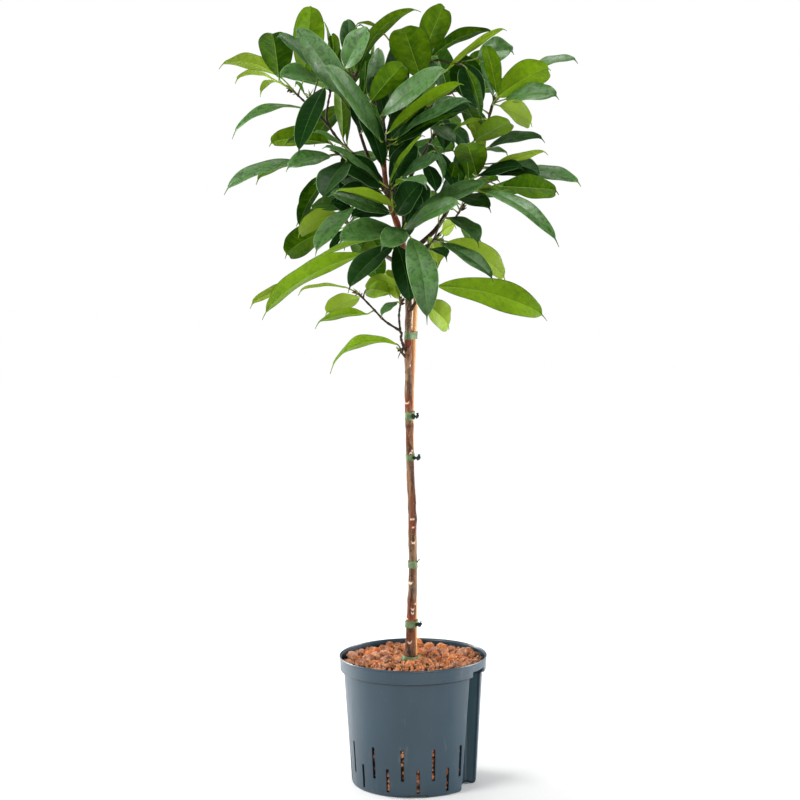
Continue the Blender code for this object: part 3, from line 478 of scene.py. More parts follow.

# Shoots: the radius where each grows on from its branch, its twigs as readings, and its leaves.
# A leaf is column, row and depth of its base, the same of its tip, width in mm, face, arch in mm
# and tone, which paints it lit or shaded.
# Face 0 shows the upper side, 180 the under side, 90 turns the upper side straight up.
SPRAYS = {
    "spray_left_high": (0.0022, [
        [(346, 148, 8), (337, 138, 6), (327, 121, 2), (328, 104, -2), (331, 90, -6)],
        [(328, 125, 2), (318, 114, -8), (305, 102, -14), (291, 89, -16)],
        [(317, 113, -9), (312, 104, -16), (310, 96, -18)]], [
        (279, 76, -20, 219, 64, -40, 38, 122, 13, FRESH), (273, 79, -12, 235, 79, 2, 24, 112, 8, FRESH),
        (281, 83, -8, 260, 92, 12, 20, 118, 8, FRESH), (279, 78, -24, 272, 30, -70, 48, 168, 4, DIM),
        (303, 108, -20, 232, 134, -34, 32, 68, 17, LIT), (316, 79, -28, 278, 76, -74, 34, 42, 8, LIT),
        (304, 93, -26, 295, 82, -40, 14, 60, 2, FRESH), (318, 70, -20, 276, 33, -80, 30, 50, 3, PLAIN),
        (304, 76, 8, 311, 1, 26, 46, 172, 5, PLAIN), (324, 88, -22, 298, 152, -72, 34, 22, 8, DEEP),
        (334, 74, 26, 323, 18, 44, 26, 72, 3, FRESH), (347, 142, 18, 331, 32, 44, 36, 118, 5, PLAIN)]),
    "spray_left": (0.002, [
        [(351, 161, -5), (343, 157, -12), (334, 151, -18)]], [
        (322, 138, 4, 269, 142, -8, 36, 142, 5, LIT), (329, 143, -22, 285, 141, -50, 30, 126, 4, PLAIN),
        (330, 156, -30, 286, 167, -52, 32, 40, 6, LIT), (303, 162, -14, 224, 190, -34, 32, 60, 13, LIT),
        (296, 163, 8, 256, 180, 22, 28, 120, 5, PLAIN), (346, 162, -38, 322, 197, -96, 42, 32, 5, DIM),
        (320, 176, 12, 300, 212, 30, 19, 148, 6, DEEP), (323, 181, -2, 299, 226, 2, 26, 140, 7, DIM)]),
    "spray_leader": (0.0028, [
        [(384, 142, -4), (384, 124, -6), (380, 111, -8), (374, 101, -10)]], [
        (381, 116, -22, 448, 66, -74, 36, 36, 6, LIT), (389, 132, -24, 464, 80, -34, 34, 128, 4, LIT),
        (397, 138, -26, 472, 98, -84, 31, 62, 6, PLAIN), (398, 144, -12, 469, 110, -48, 28, 104, 5, DIM),
        (371, 101, -22, 405, 62, -58, 38, 165, 3, PLAIN), (380, 140, -28, 322, 61, -96, 37, 46, 7, LIT),
        (368, 94, -6, 379, 44, -14, 30, 40, 3, LIT), (364, 95, 10, 365, 49, 36, 26, 150, 3, DEEP)]),
    "spray_crown_left": (0.002, [
        [(356, 114, 24), (353, 100, 18), (353, 85, 12), (355, 74, 8)]], [
        (347, 97, -10, 293, 24, -52, 42, 20, 6, LIT), (350, 62, 24, 347, 16, 22, 30, 22, 3, PLAIN),
        (345, 68, 4, 370, 26, -8, 40, 30, 4, LIT), (358, 74, 14, 421, 7, 0, 34, 122, 24, PLAIN)]),
    "spray_middle": (0.0022, [
        [(391.5, 191.5, -13), (392, 189, -24)]], [
        (380, 182, -20, 322, 144, -58, 28, 66, 5, LIT), (390, 212, -44, 328, 192, -108, 30, 38, 1, PLAIN),
        (397, 184, -40, 427, 185, -100, 28, 74, 8, LIT), (402, 177, -34, 441, 157, -84, 28, 55, 5, PLAIN),
        (390, 180, -18, 425, 132, -30, 26, 104, 4, LIT), (379, 190, -12, 336, 174, 2, 40, 36, 5, PLAIN)]),
    "spray_inner": (0.0021, [
        [(419.5, 161, 24.2), (427, 147, 20), (434, 134, 14)]], [
        (415, 150, 12, 400, 179, -16, 34, 30, 4, PLAIN), (432, 126, 2, 455, 143, -34, 24, 40, 3, LIT),
        (434, 146, 6, 443, 178, -28, 15, 56, 5, LIT), (444, 124, 26, 470, 150, 26, 30, 36, 5, PLAIN),
        (426, 165, 10, 436, 192, -12, 28, 34, 5, DIM)]),
    "spray_front": (0.0026, [
        [(401, 235, -13), (401.5, 233, -29)]], [
        (405, 230, -38, 381, 246, -94, 34, 24, 2, LIT), (393, 228, -38, 338, 241, -92, 44, 36, 7, LIT),
        (380, 238, -16, 305, 265, -40, 28, 108, 7, LIT), (411, 238, -52, 427, 320, -96, 42, 14, 26, LIT),
        (397, 246, -30, 410, 303, -46, 40, 20, 10, DEEP), (391, 246, -34, 348, 288, -84, 40, 38, 7, DIM),
        (405, 231, -34, 462, 201, -98, 35, 54, 7, LIT), (404, 229, -22, 492, 181, -52, 44, 56, 12, LIT),
        (362, 254, -16, 262, 315, -44, 50, 130, 17, LIT), (384, 246, -6, 362, 253, 40, 32, 146, 4, DIM),
        (406, 223, -6, 414, 187, 2, 30, 40, 5, DEEP)]),
    "spray_left_low": (0.0024, [
        [(353, 209.5, 15), (344, 208, 8)]], [
        (338, 205, 12, 311, 213, -10, 28, 122, 4, PLAIN), (336, 213, -10, 298, 233, -40, 38, 140, 6, FRESH),
        (352, 208, -22, 315, 252, -76, 34, 46, 6, LIT), (329, 229, 18, 285, 254, -12, 43, 156, 8, PLAIN),
        (302, 283, 12, 250, 304, -4, 22, 134, 6, FRESH)]),
    "spray_right_low": (0.0025, [
        [(429, 245, -12.5), (437, 238, -18)]], [
        (446, 218, -22, 479, 243, -66, 40, 54, 8, PLAIN),
        (448, 242, -30, 506, 278, -60, 46, 146, 12, FRESH),
        (442, 243, -48, 494, 279, -92, 32, 52, 6, PLAIN), (430, 250, -40, 447, 257, -84, 26, 58, 5, DEEP),
        (442, 232, 0, 456, 224, 34, 24, 150, 3, FRESH), (430, 238, 4, 438, 263, 30, 26, 146, 4, FRESH)]),
    "spray_twig": (0.002, [
        [(402.8, 344.1, -5.3), (400.9, 338, -8), (400.4, 331.5, -9), (385, 321, -9), (372, 307.5, -9),
         (358, 293, -8)],
        [(400.6, 333, -9), (399.0, 316, -9), (401.0, 301, -9)]], [
        (366, 314, -14, 315, 324, -34, 28, 122, 7, LIT), (359, 297, 0, 325, 312, 30, 30, 150, 4, FRESH),
        (344, 287, 0, 298, 291, 14, 20, 106, 5, FRESH), (366, 290, 0, 391, 293, 44, 32, 150, 5, LIT),
        (399, 298, 16, 384, 270, 52, 28, 150, 4, FRESH), (397, 302, -14, 381, 315, -26, 20, 52, 2, LIT)]),
    "spray_right_twig": (0.0019, [
        [(415.3, 302.5, -3.3), (421, 296, -8), (428, 288, -10)]], [
        (438, 286, -12, 547, 316, -30, 50, 148, 19, LIT), (424, 302, -4, 449, 325, -56, 40, 158, 5, FRESH)]),
    "leaf_low": (0.0015, [
        [(402.3, 353.2, -4.3), (400, 350.6, -6)]], [
        (396, 344, -12, 330, 369, -34, 40, 107, 20, LIT)]),
    "spray_right": (0.0026, [
        [(456.3, 189, 35.5), (461, 176, 26), (468, 162, 18)]], [
        (474, 141, -4, 512, 121, -50, 34, 160, 4, LIT), (489, 147, 16, 545, 138, 6, 32, 60, 8, PLAIN),
        (492, 167, -14, 548, 150, -38, 26, 118, 2, FRESH),
        (477, 175, -10, 466, 141, -64, 46, 170, 4, PLAIN),
        (469, 178, -24, 467, 158, -48, 17, 165, 2, PLAIN), (450, 182, -2, 455, 162, -22, 17, 160, 2, PLAIN),
        (502, 163, 16, 540, 177, -12, 36, 56, 7, PLAIN), (524, 170, 28, 581, 182, 14, 32, 50, 5, LIT),
        (503, 186, -24, 559, 190, -66, 40, 150, 1, PLAIN), (478, 189, -34, 559, 242, -100, 31, 44, 18, LIT),
        (457, 198, -4, 491, 208, -34, 34, 50, 6, PLAIN), (485, 150, 34, 508, 153, 38, 16, 62, 2, LIT)]),
    "spray_right_high": (0.0021, [
        [(488.5, 122.5, 45.5), (490, 112, 40), (494, 99, 34)]], [
        (497, 93, 12, 485, 42, -14, 27, 150, 3, PLAIN), (497, 97, 30, 551, 66, -6, 48, 156, 9, LIT),
        (531, 70, 50, 578, 59, 44, 30, 60, 5, LIT), (506, 99, 20, 559, 95, -10, 42, 52, 7, LIT),
        (500, 106, 20, 532, 122, -30, 38, 142, 4, FRESH), (472, 100, 48, 459, 54, 62, 48, 170, 4, DEEP)]),
    "spray_top": (0.0021, [
        [(416.5, 82.5, 52), (427, 66, 50), (437, 60, 48), (448, 63, 42), (459, 64, 26)]], [
        (421, 78, 32, 402, 24, -6, 60, 174, 3, PLAIN), (424, 52, 62, 445, 3, 56, 44, 172, 3, PLAIN),
        (432, 56, 44, 495, 30, 20, 33, 124, 12, DIM), (478, 58, 44, 514, 50, 34, 46, 40, 5, LIT),
        (467, 69, 12, 481, 117, -9, 26, 118, 4, DIM)]),
    "spray_back_high": (0.0024, [
        [(398, 169, 101), (396, 150, 108), (392, 130, 112)]], [
        (384, 128, 122, 330, 80, 172, 40, 150, 8, DIM), (396, 122, 120, 440, 72, 168, 40, 152, 8, DIM),
        (390, 118, 108, 396, 40, 124, 46, 30, 6, DIM), (404, 150, 118, 456, 150, 196, 40, 128, 8, DIM),
        (384, 156, 118, 340, 172, 190, 40, 126, 8, DIM), (396, 176, 124, 400, 196, 220, 44, 120, 10, DIM),
        (402, 144, 112, 416, 106, 118, 42, 30, 5, DIM), (412, 160, 98, 440, 152, 60, 36, 50, 5, DIM),
        (413, 176, 98, 422, 209, 68, 36, 28, 6, DIM)]),
    "spray_back_right": (0.0025, [
        [(440.5, 233, 93), (452, 222, 110), (462, 208, 120)]], [
        (466, 196, 112, 500, 178, 146, 34, 118, 6, DIM), (470, 200, 130, 540, 190, 168, 42, 126, 10, DIM),
        (458, 222, 138, 472, 258, 190, 34, 128, 12, DIM), (442, 238, 128, 420, 296, 180, 44, 150, 14, DIM),
        (452, 208, 126, 420, 200, 186, 40, 118, 6, DIM), (456, 200, 116, 462, 150, 150, 42, 30, 5, DIM)]),
    "spray_back_left": (0.0025, [
        [(367.5, 239.5, 91), (356, 232, 106), (346, 222, 114)]], [
        (340, 218, 114, 296, 222, 126, 38, 124, 8, DIM), (342, 228, 124, 290, 250, 176, 42, 130, 12, DIM),
        (352, 240, 122, 380, 284, 178, 44, 150, 14, DIM), (360, 236, 124, 396, 250, 196, 42, 126, 10, DIM),
        (344, 212, 108, 318, 180, 128, 40, 34, 5, DIM), (352, 220, 124, 376, 206, 190, 38, 120, 6, DIM)]),
    "spray_back_crown": (0.0022, [
        [(365.5, 117, 79), (360, 104, 84), (352, 92, 86)]], [
        (346, 88, 78, 300, 60, 96, 42, 140, 6, DIM), (344, 94, 92, 280, 72, 132, 40, 128, 8, DIM),
        (354, 84, 92, 350, 24, 124, 40, 150, 6, DIM), (362, 100, 96, 404, 76, 140, 40, 124, 6, DIM),
        (350, 104, 96, 314, 142, 140, 42, 130, 10, DIM), (368, 62, 66, 357, 22, 56, 18, 104, 14, DIM),
        (368, 102, 78, 386, 74, 54, 38, 40, 5, DIM)]),
    "spray_back_rise": (0.002, [
        [(432.5, 105.5, 101), (444, 96, 108), (456, 90, 112)]], [
        (462, 86, 104, 492, 52, 118, 40, 140, 5, DIM), (464, 92, 116, 530, 92, 156, 42, 126, 8, DIM),
        (456, 98, 122, 480, 140, 170, 42, 132, 10, DIM), (448, 92, 118, 430, 40, 152, 42, 150, 6, DIM),
        (444, 104, 118, 448, 130, 188, 38, 122, 8, DIM), (440, 112, 90, 444, 150, 62, 32, 30, 5, DIM),
        (440, 90, 92, 424, 60, 64, 38, 60, 5, DIM)]),
}

# Leaves in the heart of the crown, given alike, but with painted lightness, lit or shaded, and freshness as
# numbers.
INNER = [
    (322, 72, -2, 291, 43, -20, 26, 50, 4, -0.6, 0.0), (333, 62, 20, 332, 32, 30, 20, 150, 3, -0.1, 0.0),
    (343, 138, 14, 337, 70, 30, 30, 140, 4, -0.2, 0.1), (341, 144, -10, 314, 130, -30, 10, 40, 2, 0.9, 0.3),
    (392, 138, -6, 428, 104, -24, 30, 30, 4, -1.2, 0.0),
    (396, 142, -8, 450, 112, -30, 30, 40, 5, -0.9, 0.0), (430, 114, 10, 456, 98, -4, 22, 40, 3, 0.2, 0.0),
    (362, 130, 12, 351, 98, 4, 24, 30, 3, -1.0, 0.0), (383, 166, -6, 356, 100, -14, 34, 40, 6, -0.3, 0.0),
    (392, 184, -2, 417, 140, -8, 40, 30, 5, -1.0, 0.0),
    (397, 214, -10, 424, 180, -30, 42, 30, 5, -1.1, 0.0),
    (382, 186, -4, 338, 160, -22, 46, 40, 6, -1.0, 0.0),
    (384, 196, -4, 336, 196, -26, 40, 40, 6, -0.9, 0.0), (436, 152, 8, 456, 190, -10, 30, 40, 4, -0.7, 0.0),
    (478, 108, 30, 462, 62, 20, 40, 20, 4, -1.0, 0.0), (493, 96, 34, 481, 58, 44, 18, 40, 2, 0.5, 0.0),
    (448, 69, 30, 507, 26, 12, 20, 120, 5, 0.4, 0.4), (482, 119, 0, 452, 132, -20, 16, 110, 4, 0.3, 0.2),
    (484, 150, 10, 470, 117, 0, 22, 160, 3, 0.5, 0.5), (478, 176, -10, 524, 166, -40, 32, 60, 4, -1.1, 0.0),
    (494, 174, -10, 540, 177, -44, 26, 60, 4, -1.1, 0.0),
    (350, 207, 0, 310, 208, -14, 34, 50, 4, -0.7, 0.2), (352, 228, 14, 330, 252, 0, 26, 60, 4, -0.9, 0.0),
    (392, 206, -50, 334, 189, -110, 32, 124, 4, 0.6, 0.35),
    (384, 238, 6, 364, 262, 14, 30, 150, 3, 0.2, 0.1), (400, 284, 24, 366, 290, 46, 40, 150, 4, 0.4, 0.5),
    (469, 191, -26, 506, 194, -56, 26, 124, 3, 0.3, 0.8), (440, 214, 10, 452, 172, 0, 34, 30, 4, -1.0, 0.0),
    (462, 186, 20, 478, 150, 20, 34, 150, 4, -0.6, 0.0), (372, 222, 14, 344, 246, 10, 34, 40, 4, -0.8, 0.0),
    (360, 204, 6, 336, 178, -12, 38, 40, 4, -1.0, 0.0), (384, 120, -2, 372, 72, -10, 30, 40, 4, -0.4, 0.0),
    (404, 106, 40, 432, 78, 30, 34, 40, 4, -0.5, 0.0), (382, 32, 30, 355, 24, 20, 16, 112, 6, 0.6, 0.6),
    (390, 160, -2, 426, 118, 0, 34, 30, 4, -1.1, 0.0), (388, 150, 2, 399, 104, 10, 28, 30, 4, -0.9, 0.0),
    (392, 206, 10, 399, 158, 14, 30, 30, 4, -1.0, 0.0), (404, 240, 0, 419, 208, -6, 24, 40, 3, -1.0, 0.0),
    (388, 214, 0, 350, 215, -16, 30, 50, 4, -0.6, 0.0), (352, 210, -4, 330, 202, -20, 24, 40, 3, -1.1, 0.0),
    (440, 120, 24, 470, 106, 10, 26, 50, 4, -0.9, 0.0), (416, 128, 20, 440, 110, 24, 30, 40, 4, -1.1, 0.0),
]


@dataclass(frozen=True)
class LeafSide:
    """Finish of one side of the blades.

    Attributes:
        deep, bright, young: Colours of a leaf in the shade, a well lit and a fresh one.
        rib: Colour of the midrib and the side veins.
        rib_width: Half width of the midrib in millimetres.
        rib_share, vein: How clearly the midrib and the side veins show.
        margin: Colour of its edge.
        cloud: How blotchy the blade is.
        roughness, specular: Roughness of its skin and strength of its plain reflection.
        mottle: How dark its spots are.
    """

    name: str
    deep: Colour
    bright: Colour
    young: Colour
    rib: Colour
    rib_width: float
    rib_share: float
    vein: float
    margin: Colour
    cloud: float
    roughness: float
    specular: float
    mottle: float

    def material(self) -> Finish:
        """Blade colour by its tone, painted lit or shaded, with midrib, side veins, margin and a softly
        uneven skin.
        """
        g = Graph(self.name, self.roughness, self.specular)
        reach, across, vein = g.note("leaf_at")
        tone, youth, off = g.note("leaf_tone")
        cloud = g.noise(70, 4, 0.6, warp=0.6)
        # painted light and shade: the tone moves the colour between the shaded and the well lit one
        lift = g.math("MULTIPLY_ADD", g.math("SUBTRACT", cloud, 0.5), self.cloud, tone)
        colour = g.mix(g.span(lift, -0.55, 0.85), self.deep, self.bright)
        mottle = g.noise(150, 3, 0.6, warp=0.9)
        colour = g.mix(g.span(mottle, 0.50, 0.60, 0.0, self.mottle), colour, self.deep)
        colour = g.mix(youth, colour, self.young)
        side = g.math("ABSOLUTE", across)
        # side veins: lines where the vein phase is whole, paler towards the midrib
        phase = g.math("ABSOLUTE", g.math("SUBTRACT", g.math("FRACT", vein), 0.5))
        line = g.span(phase, 0.445, 0.5)
        line = g.math("MULTIPLY", line, g.span(side, 0.86, 0.45))
        line = g.math("MULTIPLY", line, g.span(reach, 0.98, 0.85))
        shown = g.math("MULTIPLY", line, self.vein)
        rib = g.span(g.math("ABSOLUTE", off), self.rib_width, self.rib_width * 0.45)
        rib = g.math("MULTIPLY", rib, g.span(reach, 1.05, 0.55, 0.15 * self.rib_share, self.rib_share))
        colour = g.mix(g.math("MAXIMUM", shown, rib), colour, self.rib)
        colour = g.mix(g.span(side, 0.93, 0.985, 0.0, 0.6), colour, self.margin)
        g.bump(g.noise(60, 1, 0.5), 0.0030, 0.40)
        # the skin swells between the side veins, and a leaf in the shade reflects little
        g.bump(g.math("MULTIPLY", phase, phase), -0.0014, 0.25)
        g.put(g.shader.inputs["Specular IOR Level"], g.span(tone, -0.7, 0.6, 0.03, self.specular))
        gloss = g.span(cloud, 0.3, 0.7, self.roughness - 0.10, self.roughness + 0.16)
        return g.finish(colour, gloss)


@dataclass(frozen=True)
class ShootFinish:
    """Finish of petioles, twigs and stipules: a base colour that turns to another along them."""

    name: str
    near: Colour
    far: Colour
    roughness: float
    grain: float
    flecks: Colour = (0.02, 0.012, 0.008)

    def material(self) -> Finish:
        """Colour from root to end, streaked and flecked, with a fine rough skin."""
        g = Graph(self.name, self.roughness, specular=0.2)
        along, _, _ = g.note("leaf_at")
        streak = g.noise(260, 4, 0.6, (1.0, 1.0, 0.4))
        share = g.math("ADD", along, g.math("MULTIPLY", g.math("SUBTRACT", streak, 0.5), 0.8))
        colour = g.mix(g.span(share, 0.0, 1.0), self.near, self.far)
        colour = g.mix(g.span(streak, 0.55, 0.75, 0.0, self.grain), colour, self.flecks)
        g.bump(streak, 0.0008, 0.5)
        return g.finish(colour)


@dataclass(frozen=True)
class BarkFinish:
    """Finish of the trunk and the branches.

    Attributes:
        brown, dark: Main colour of the bark and colour of its cracks.
        grey, tan, red: Colours of weathered stretches, of dry streaks and of fresh bark.
        cream: Colour of leaf scars.
        young, blot: Colours of the branches and of dark patches, the blot also painted shade on the trunk in
            the crown.
    """

    brown: Colour = (0.138, 0.058, 0.026)
    dark: Colour = (0.028, 0.012, 0.006)
    grey: Colour = (0.14, 0.102, 0.078)
    tan: Colour = (0.31, 0.185, 0.090)
    red: Colour = (0.17, 0.034, 0.012)
    cream: Colour = (0.80, 0.62, 0.46)
    young: Colour = (0.026, 0.016, 0.008)
    blot: Colour = (0.014, 0.007, 0.004)

    def material(self) -> Finish:
        """Long streaks of brown, tan and grey with fresh red stretches, cracks, scars, dark patches and
        painted shade in the crown.
        """
        g = Graph("bark", 0.72, specular=0.15)
        scar, red, grey = g.note("bark_at")
        young, dark, dry = g.note("bark_more")
        streak = g.noise(170, 5, 0.6, (1.0, 1.0, 0.10), 0.4)
        patch = g.noise(55, 4, 0.6, (1.0, 1.0, 0.45), 0.8)
        fleck = g.noise(620, 3, 0.6, (1.0, 1.0, 0.45))
        crack = g.noise(340, 4, 0.65, (1.0, 1.0, 0.16), 0.3)
        colour = g.mix(g.span(streak, 0.40, 0.57), self.dark, self.brown)
        colour = g.mix(g.span(patch, 0.53, 0.64, 0.0, 0.8), colour, self.tan)
        colour = g.mix(g.span(fleck, 0.62, 0.70, 0.0, 0.5), colour, self.cream)
        colour = g.mix(g.math("MULTIPLY", dry, g.span(streak, 0.35, 0.5, 0.3, 1.0)), colour, self.tan)
        weather = g.math("MAXIMUM", grey, g.span(g.noise(38, 3, 0.5), 0.58, 0.70, 0.0, 0.6))
        weather = g.math("MULTIPLY", weather, g.span(young, 0.0, 1.0, 1.0, 0.2))
        colour = g.mix(g.math("MULTIPLY", weather, g.span(fleck, 0.38, 0.62)), colour, self.grey)
        colour = g.mix(g.math("MULTIPLY", red, g.span(streak, 0.30, 0.55, 0.45, 1.0)), colour, self.red)
        colour = g.mix(g.span(crack, 0.60, 0.70, 0.0, 0.75), colour, self.dark)
        colour = g.mix(g.math("MULTIPLY", young, g.span(streak, 0.3, 0.7, 0.55, 1.0)), colour, self.young)
        # dark patches, and on the trunk inside the crown painted shade under the leaves
        colour = g.mix(g.math("MULTIPLY", dark, g.span(fleck, 0.38, 0.55, 1.0, 0.45)), colour, self.blot)
        colour = g.mix(scar, colour, self.cream)
        g.bump(g.math("MULTIPLY_ADD", fleck, 0.4, streak), 0.0016, 0.7)
        g.bump(g.span(crack, 0.58, 0.72, 1.0, 0.0), 0.0009, 0.6)
        return g.finish(colour, g.span(fleck, 0.3, 0.7, 0.58, 0.85))


@dataclass(frozen=True)
class CaneFinish:
    """Finish of the stake: dry cane, straw to orange, with long fibres."""

    light: Colour = (0.60, 0.285, 0.072)
    warm: Colour = (0.42, 0.145, 0.034)
    dusty: Colour = (0.40, 0.22, 0.10)

    def material(self) -> Finish:
        """Colour drawn out along the cane, a faint gloss and fine fibre lines."""
        g = Graph("cane", 0.5, coat=0.15)
        fibre = g.noise(300, 4, 0.6, (1.0, 1.0, 0.03))
        patch = g.noise(42, 3, 0.6, (1.0, 1.0, 0.35))
        colour = g.mix(g.span(fibre, 0.35, 0.65), self.warm, self.light)
        colour = g.mix(g.span(patch, 0.5, 0.72, 0.0, 0.7), colour, self.dusty)
        g.bump(fibre, 0.0006, 0.5)
        return g.finish(colour)


@dataclass(frozen=True)
class TapeFinish:
    """Finish of the ties: thin stretched plastic tape."""

    name: str
    colour: Colour
    worn: Colour

    def material(self) -> Finish:
        """Soft green with paler stretched places and fine creases."""
        g = Graph(self.name, 0.58, specular=0.25)
        crease = g.noise(260, 4, 0.6, (1.0, 1.0, 2.2), 0.6)
        patch = g.noise(150, 3, 0.5)
        colour = g.mix(g.span(patch, 0.4, 0.66), self.colour, self.worn)
        g.bump(crease, 0.0012, 0.6)
        return g.finish(colour, g.span(crease, 0.3, 0.7, 0.5, 0.7))


@dataclass(frozen=True)
class ClayFinish:
    """Finish of the broken fired clay, each pebble with its own tone, and painted shade in the gaps between
    them.
    """

    orange: Colour = (0.56, 0.175, 0.050)
    brown: Colour = (0.110, 0.042, 0.022)
    pink: Colour = (0.48, 0.235, 0.165)
    pale: Colour = (0.84, 0.50, 0.27)
    pores: Colour = (0.16, 0.045, 0.022)
    # painted shade: depth is the colour low on the pebbles and in the gaps between them
    depth: Colour = (0.022, 0.009, 0.005)

    def material(self) -> Finish:
        """Shade by the pebble's own numbers, painted shade low on it and in the gaps between pebbles, and a
        porous skin.
        """
        g = Graph("fired_clay", 0.92, specular=0.25)
        shade, hue, hollow = g.note("pebble")
        pore = g.noise(650, 5, 0.7)
        cloud = g.noise(210, 4, 0.6, warp=0.5)
        colour = g.mix(g.span(shade, 0.0, 1.0), self.brown, self.orange)
        colour = g.mix(g.span(hue, 0.45, 1.0, 0.0, 0.8), colour, self.pink)
        colour = g.mix(g.span(cloud, 0.46, 0.72, 0.0, 0.75), colour, self.pale)
        colour = g.mix(g.span(pore, 0.56, 0.72, 0.0, 0.6), colour, self.pores)
        # painted shade: the lower a point lies, the darker, as in the gaps
        colour = g.mix(hollow, colour, self.depth)
        g.bump(g.math("MULTIPLY_ADD", pore, 0.6, cloud), 0.0022, 0.9)
        return g.finish(colour)


@dataclass(frozen=True)
class PlasticFinish:
    """Finish of the pot: satin blue-grey plastic, marbled by the moulding, with painted light and shade by
    place.

    Attributes:
        dark, light, dusty: Colours of the plastic, of slow clouds in it and of faint streaks.
        channel, shadow: Colours of the painted light on the channel's sides and of the painted shadow lines
            in corners.
        corner: Height of the corner under the band.
    """

    dark: Colour = (0.008, 0.029, 0.046)
    light: Colour = (0.012, 0.036, 0.056)
    dusty: Colour = (0.35, 0.36, 0.34)
    channel: Colour = (0.044, 0.078, 0.096)
    shadow: Colour = (0.004, 0.009, 0.013)
    roughness: float = 0.36
    corner: float = 0.1694

    def material(self) -> Finish:
        """Clouds and dusty streaks, painted light on the channel's sides, painted shadow lines in corners,
        fine specks.
        """
        g = Graph("pot_plastic", self.roughness, specular=0.55)
        cloud = g.noise(16, 3, 0.5, (1.0, 1.0, 0.4))
        speck = g.noise(900, 3, 0.6)
        dust = g.noise(90, 4, 0.6, (1.0, 1.0, 0.25))
        colour = g.mix(g.span(cloud, 0.35, 0.65), self.dark, self.light)
        colour = g.mix(g.span(dust, 0.60, 0.80, 0.0, 0.10), colour, self.dusty)
        x, y, z = g.add("ShaderNodeSeparateXYZ", {0: g.place}).outputs
        # the channel's sides lie inside the cone of the wall, 0.0921 + 0.0602 z, and are painted paler, as
        # painted light
        radius = g.math("SQRT", g.math("ADD", g.math("MULTIPLY", x, x), g.math("MULTIPLY", y, y)))
        inside = g.math("SUBTRACT", g.math("MULTIPLY_ADD", z, 0.0602, 0.0921), radius)
        side = g.math("MULTIPLY", g.span(inside, 0.0026, 0.0060), g.span(z, 0.002, 0.005))
        colour = g.mix(side, colour, self.channel)
        # a shadowed line in the corner under the band, and one over the notch in the foot
        gap = g.math("ABSOLUTE", g.math("SUBTRACT", z, self.corner))
        colour = g.mix(g.span(gap, 0.0018, 0.0005, 0.0, 0.9), colour, self.shadow)
        aside = g.math("ABSOLUTE", g.math("SUBTRACT", x, 0.0070))
        slit = g.math("MULTIPLY", g.span(z, 0.0050, 0.0042), g.span(aside, 0.0136, 0.0126))
        colour = g.mix(g.math("MULTIPLY", slit, g.span(y, 0.0, -0.01)), colour, self.shadow)
        g.bump(speck, 0.00015, 0.5)
        return g.finish(colour, g.span(dust, 0.35, 0.7, self.roughness - 0.04, self.roughness + 0.10))


class LeafPart(Enum):
    """What a face of a spray belongs to, and so which finish it takes."""

    UPPER = 0
    UNDER = 1
    PETIOLE = 2
    TWIG = 3
    STIPULE = 4


LEAF_FINISHES = {
    LeafPart.UPPER: LeafSide("leaf_upper", (0.006, 0.028, 0.004), (0.066, 0.172, 0.036),
                             (0.13, 0.26, 0.03), (0.13, 0.28, 0.07), 0.45, 0.40, 0.10,
                             (0.20, 0.36, 0.13), 1.1, 0.42, 0.50, 0.60),
    LeafPart.UNDER: LeafSide("leaf_under", (0.012, 0.050, 0.0), (0.150, 0.275, 0.002),
                             (0.24, 0.33, 0.025), (0.25, 0.38, 0.05), 0.6, 0.50, 0.22,
                             (0.012, 0.040, 0.001), 1.0, 0.50, 0.08, 0.22),
    LeafPart.PETIOLE: ShootFinish("petiole", (0.030, 0.030, 0.006), (0.24, 0.35, 0.04), 0.4, 0.25),
    LeafPart.TWIG: ShootFinish("twig", (0.020, 0.011, 0.007), (0.042, 0.028, 0.011), 0.7, 0.6),
    LeafPart.STIPULE: ShootFinish("stipule", (0.085, 0.030, 0.012), (0.015, 0.008, 0.006), 0.65, 0.5),
}


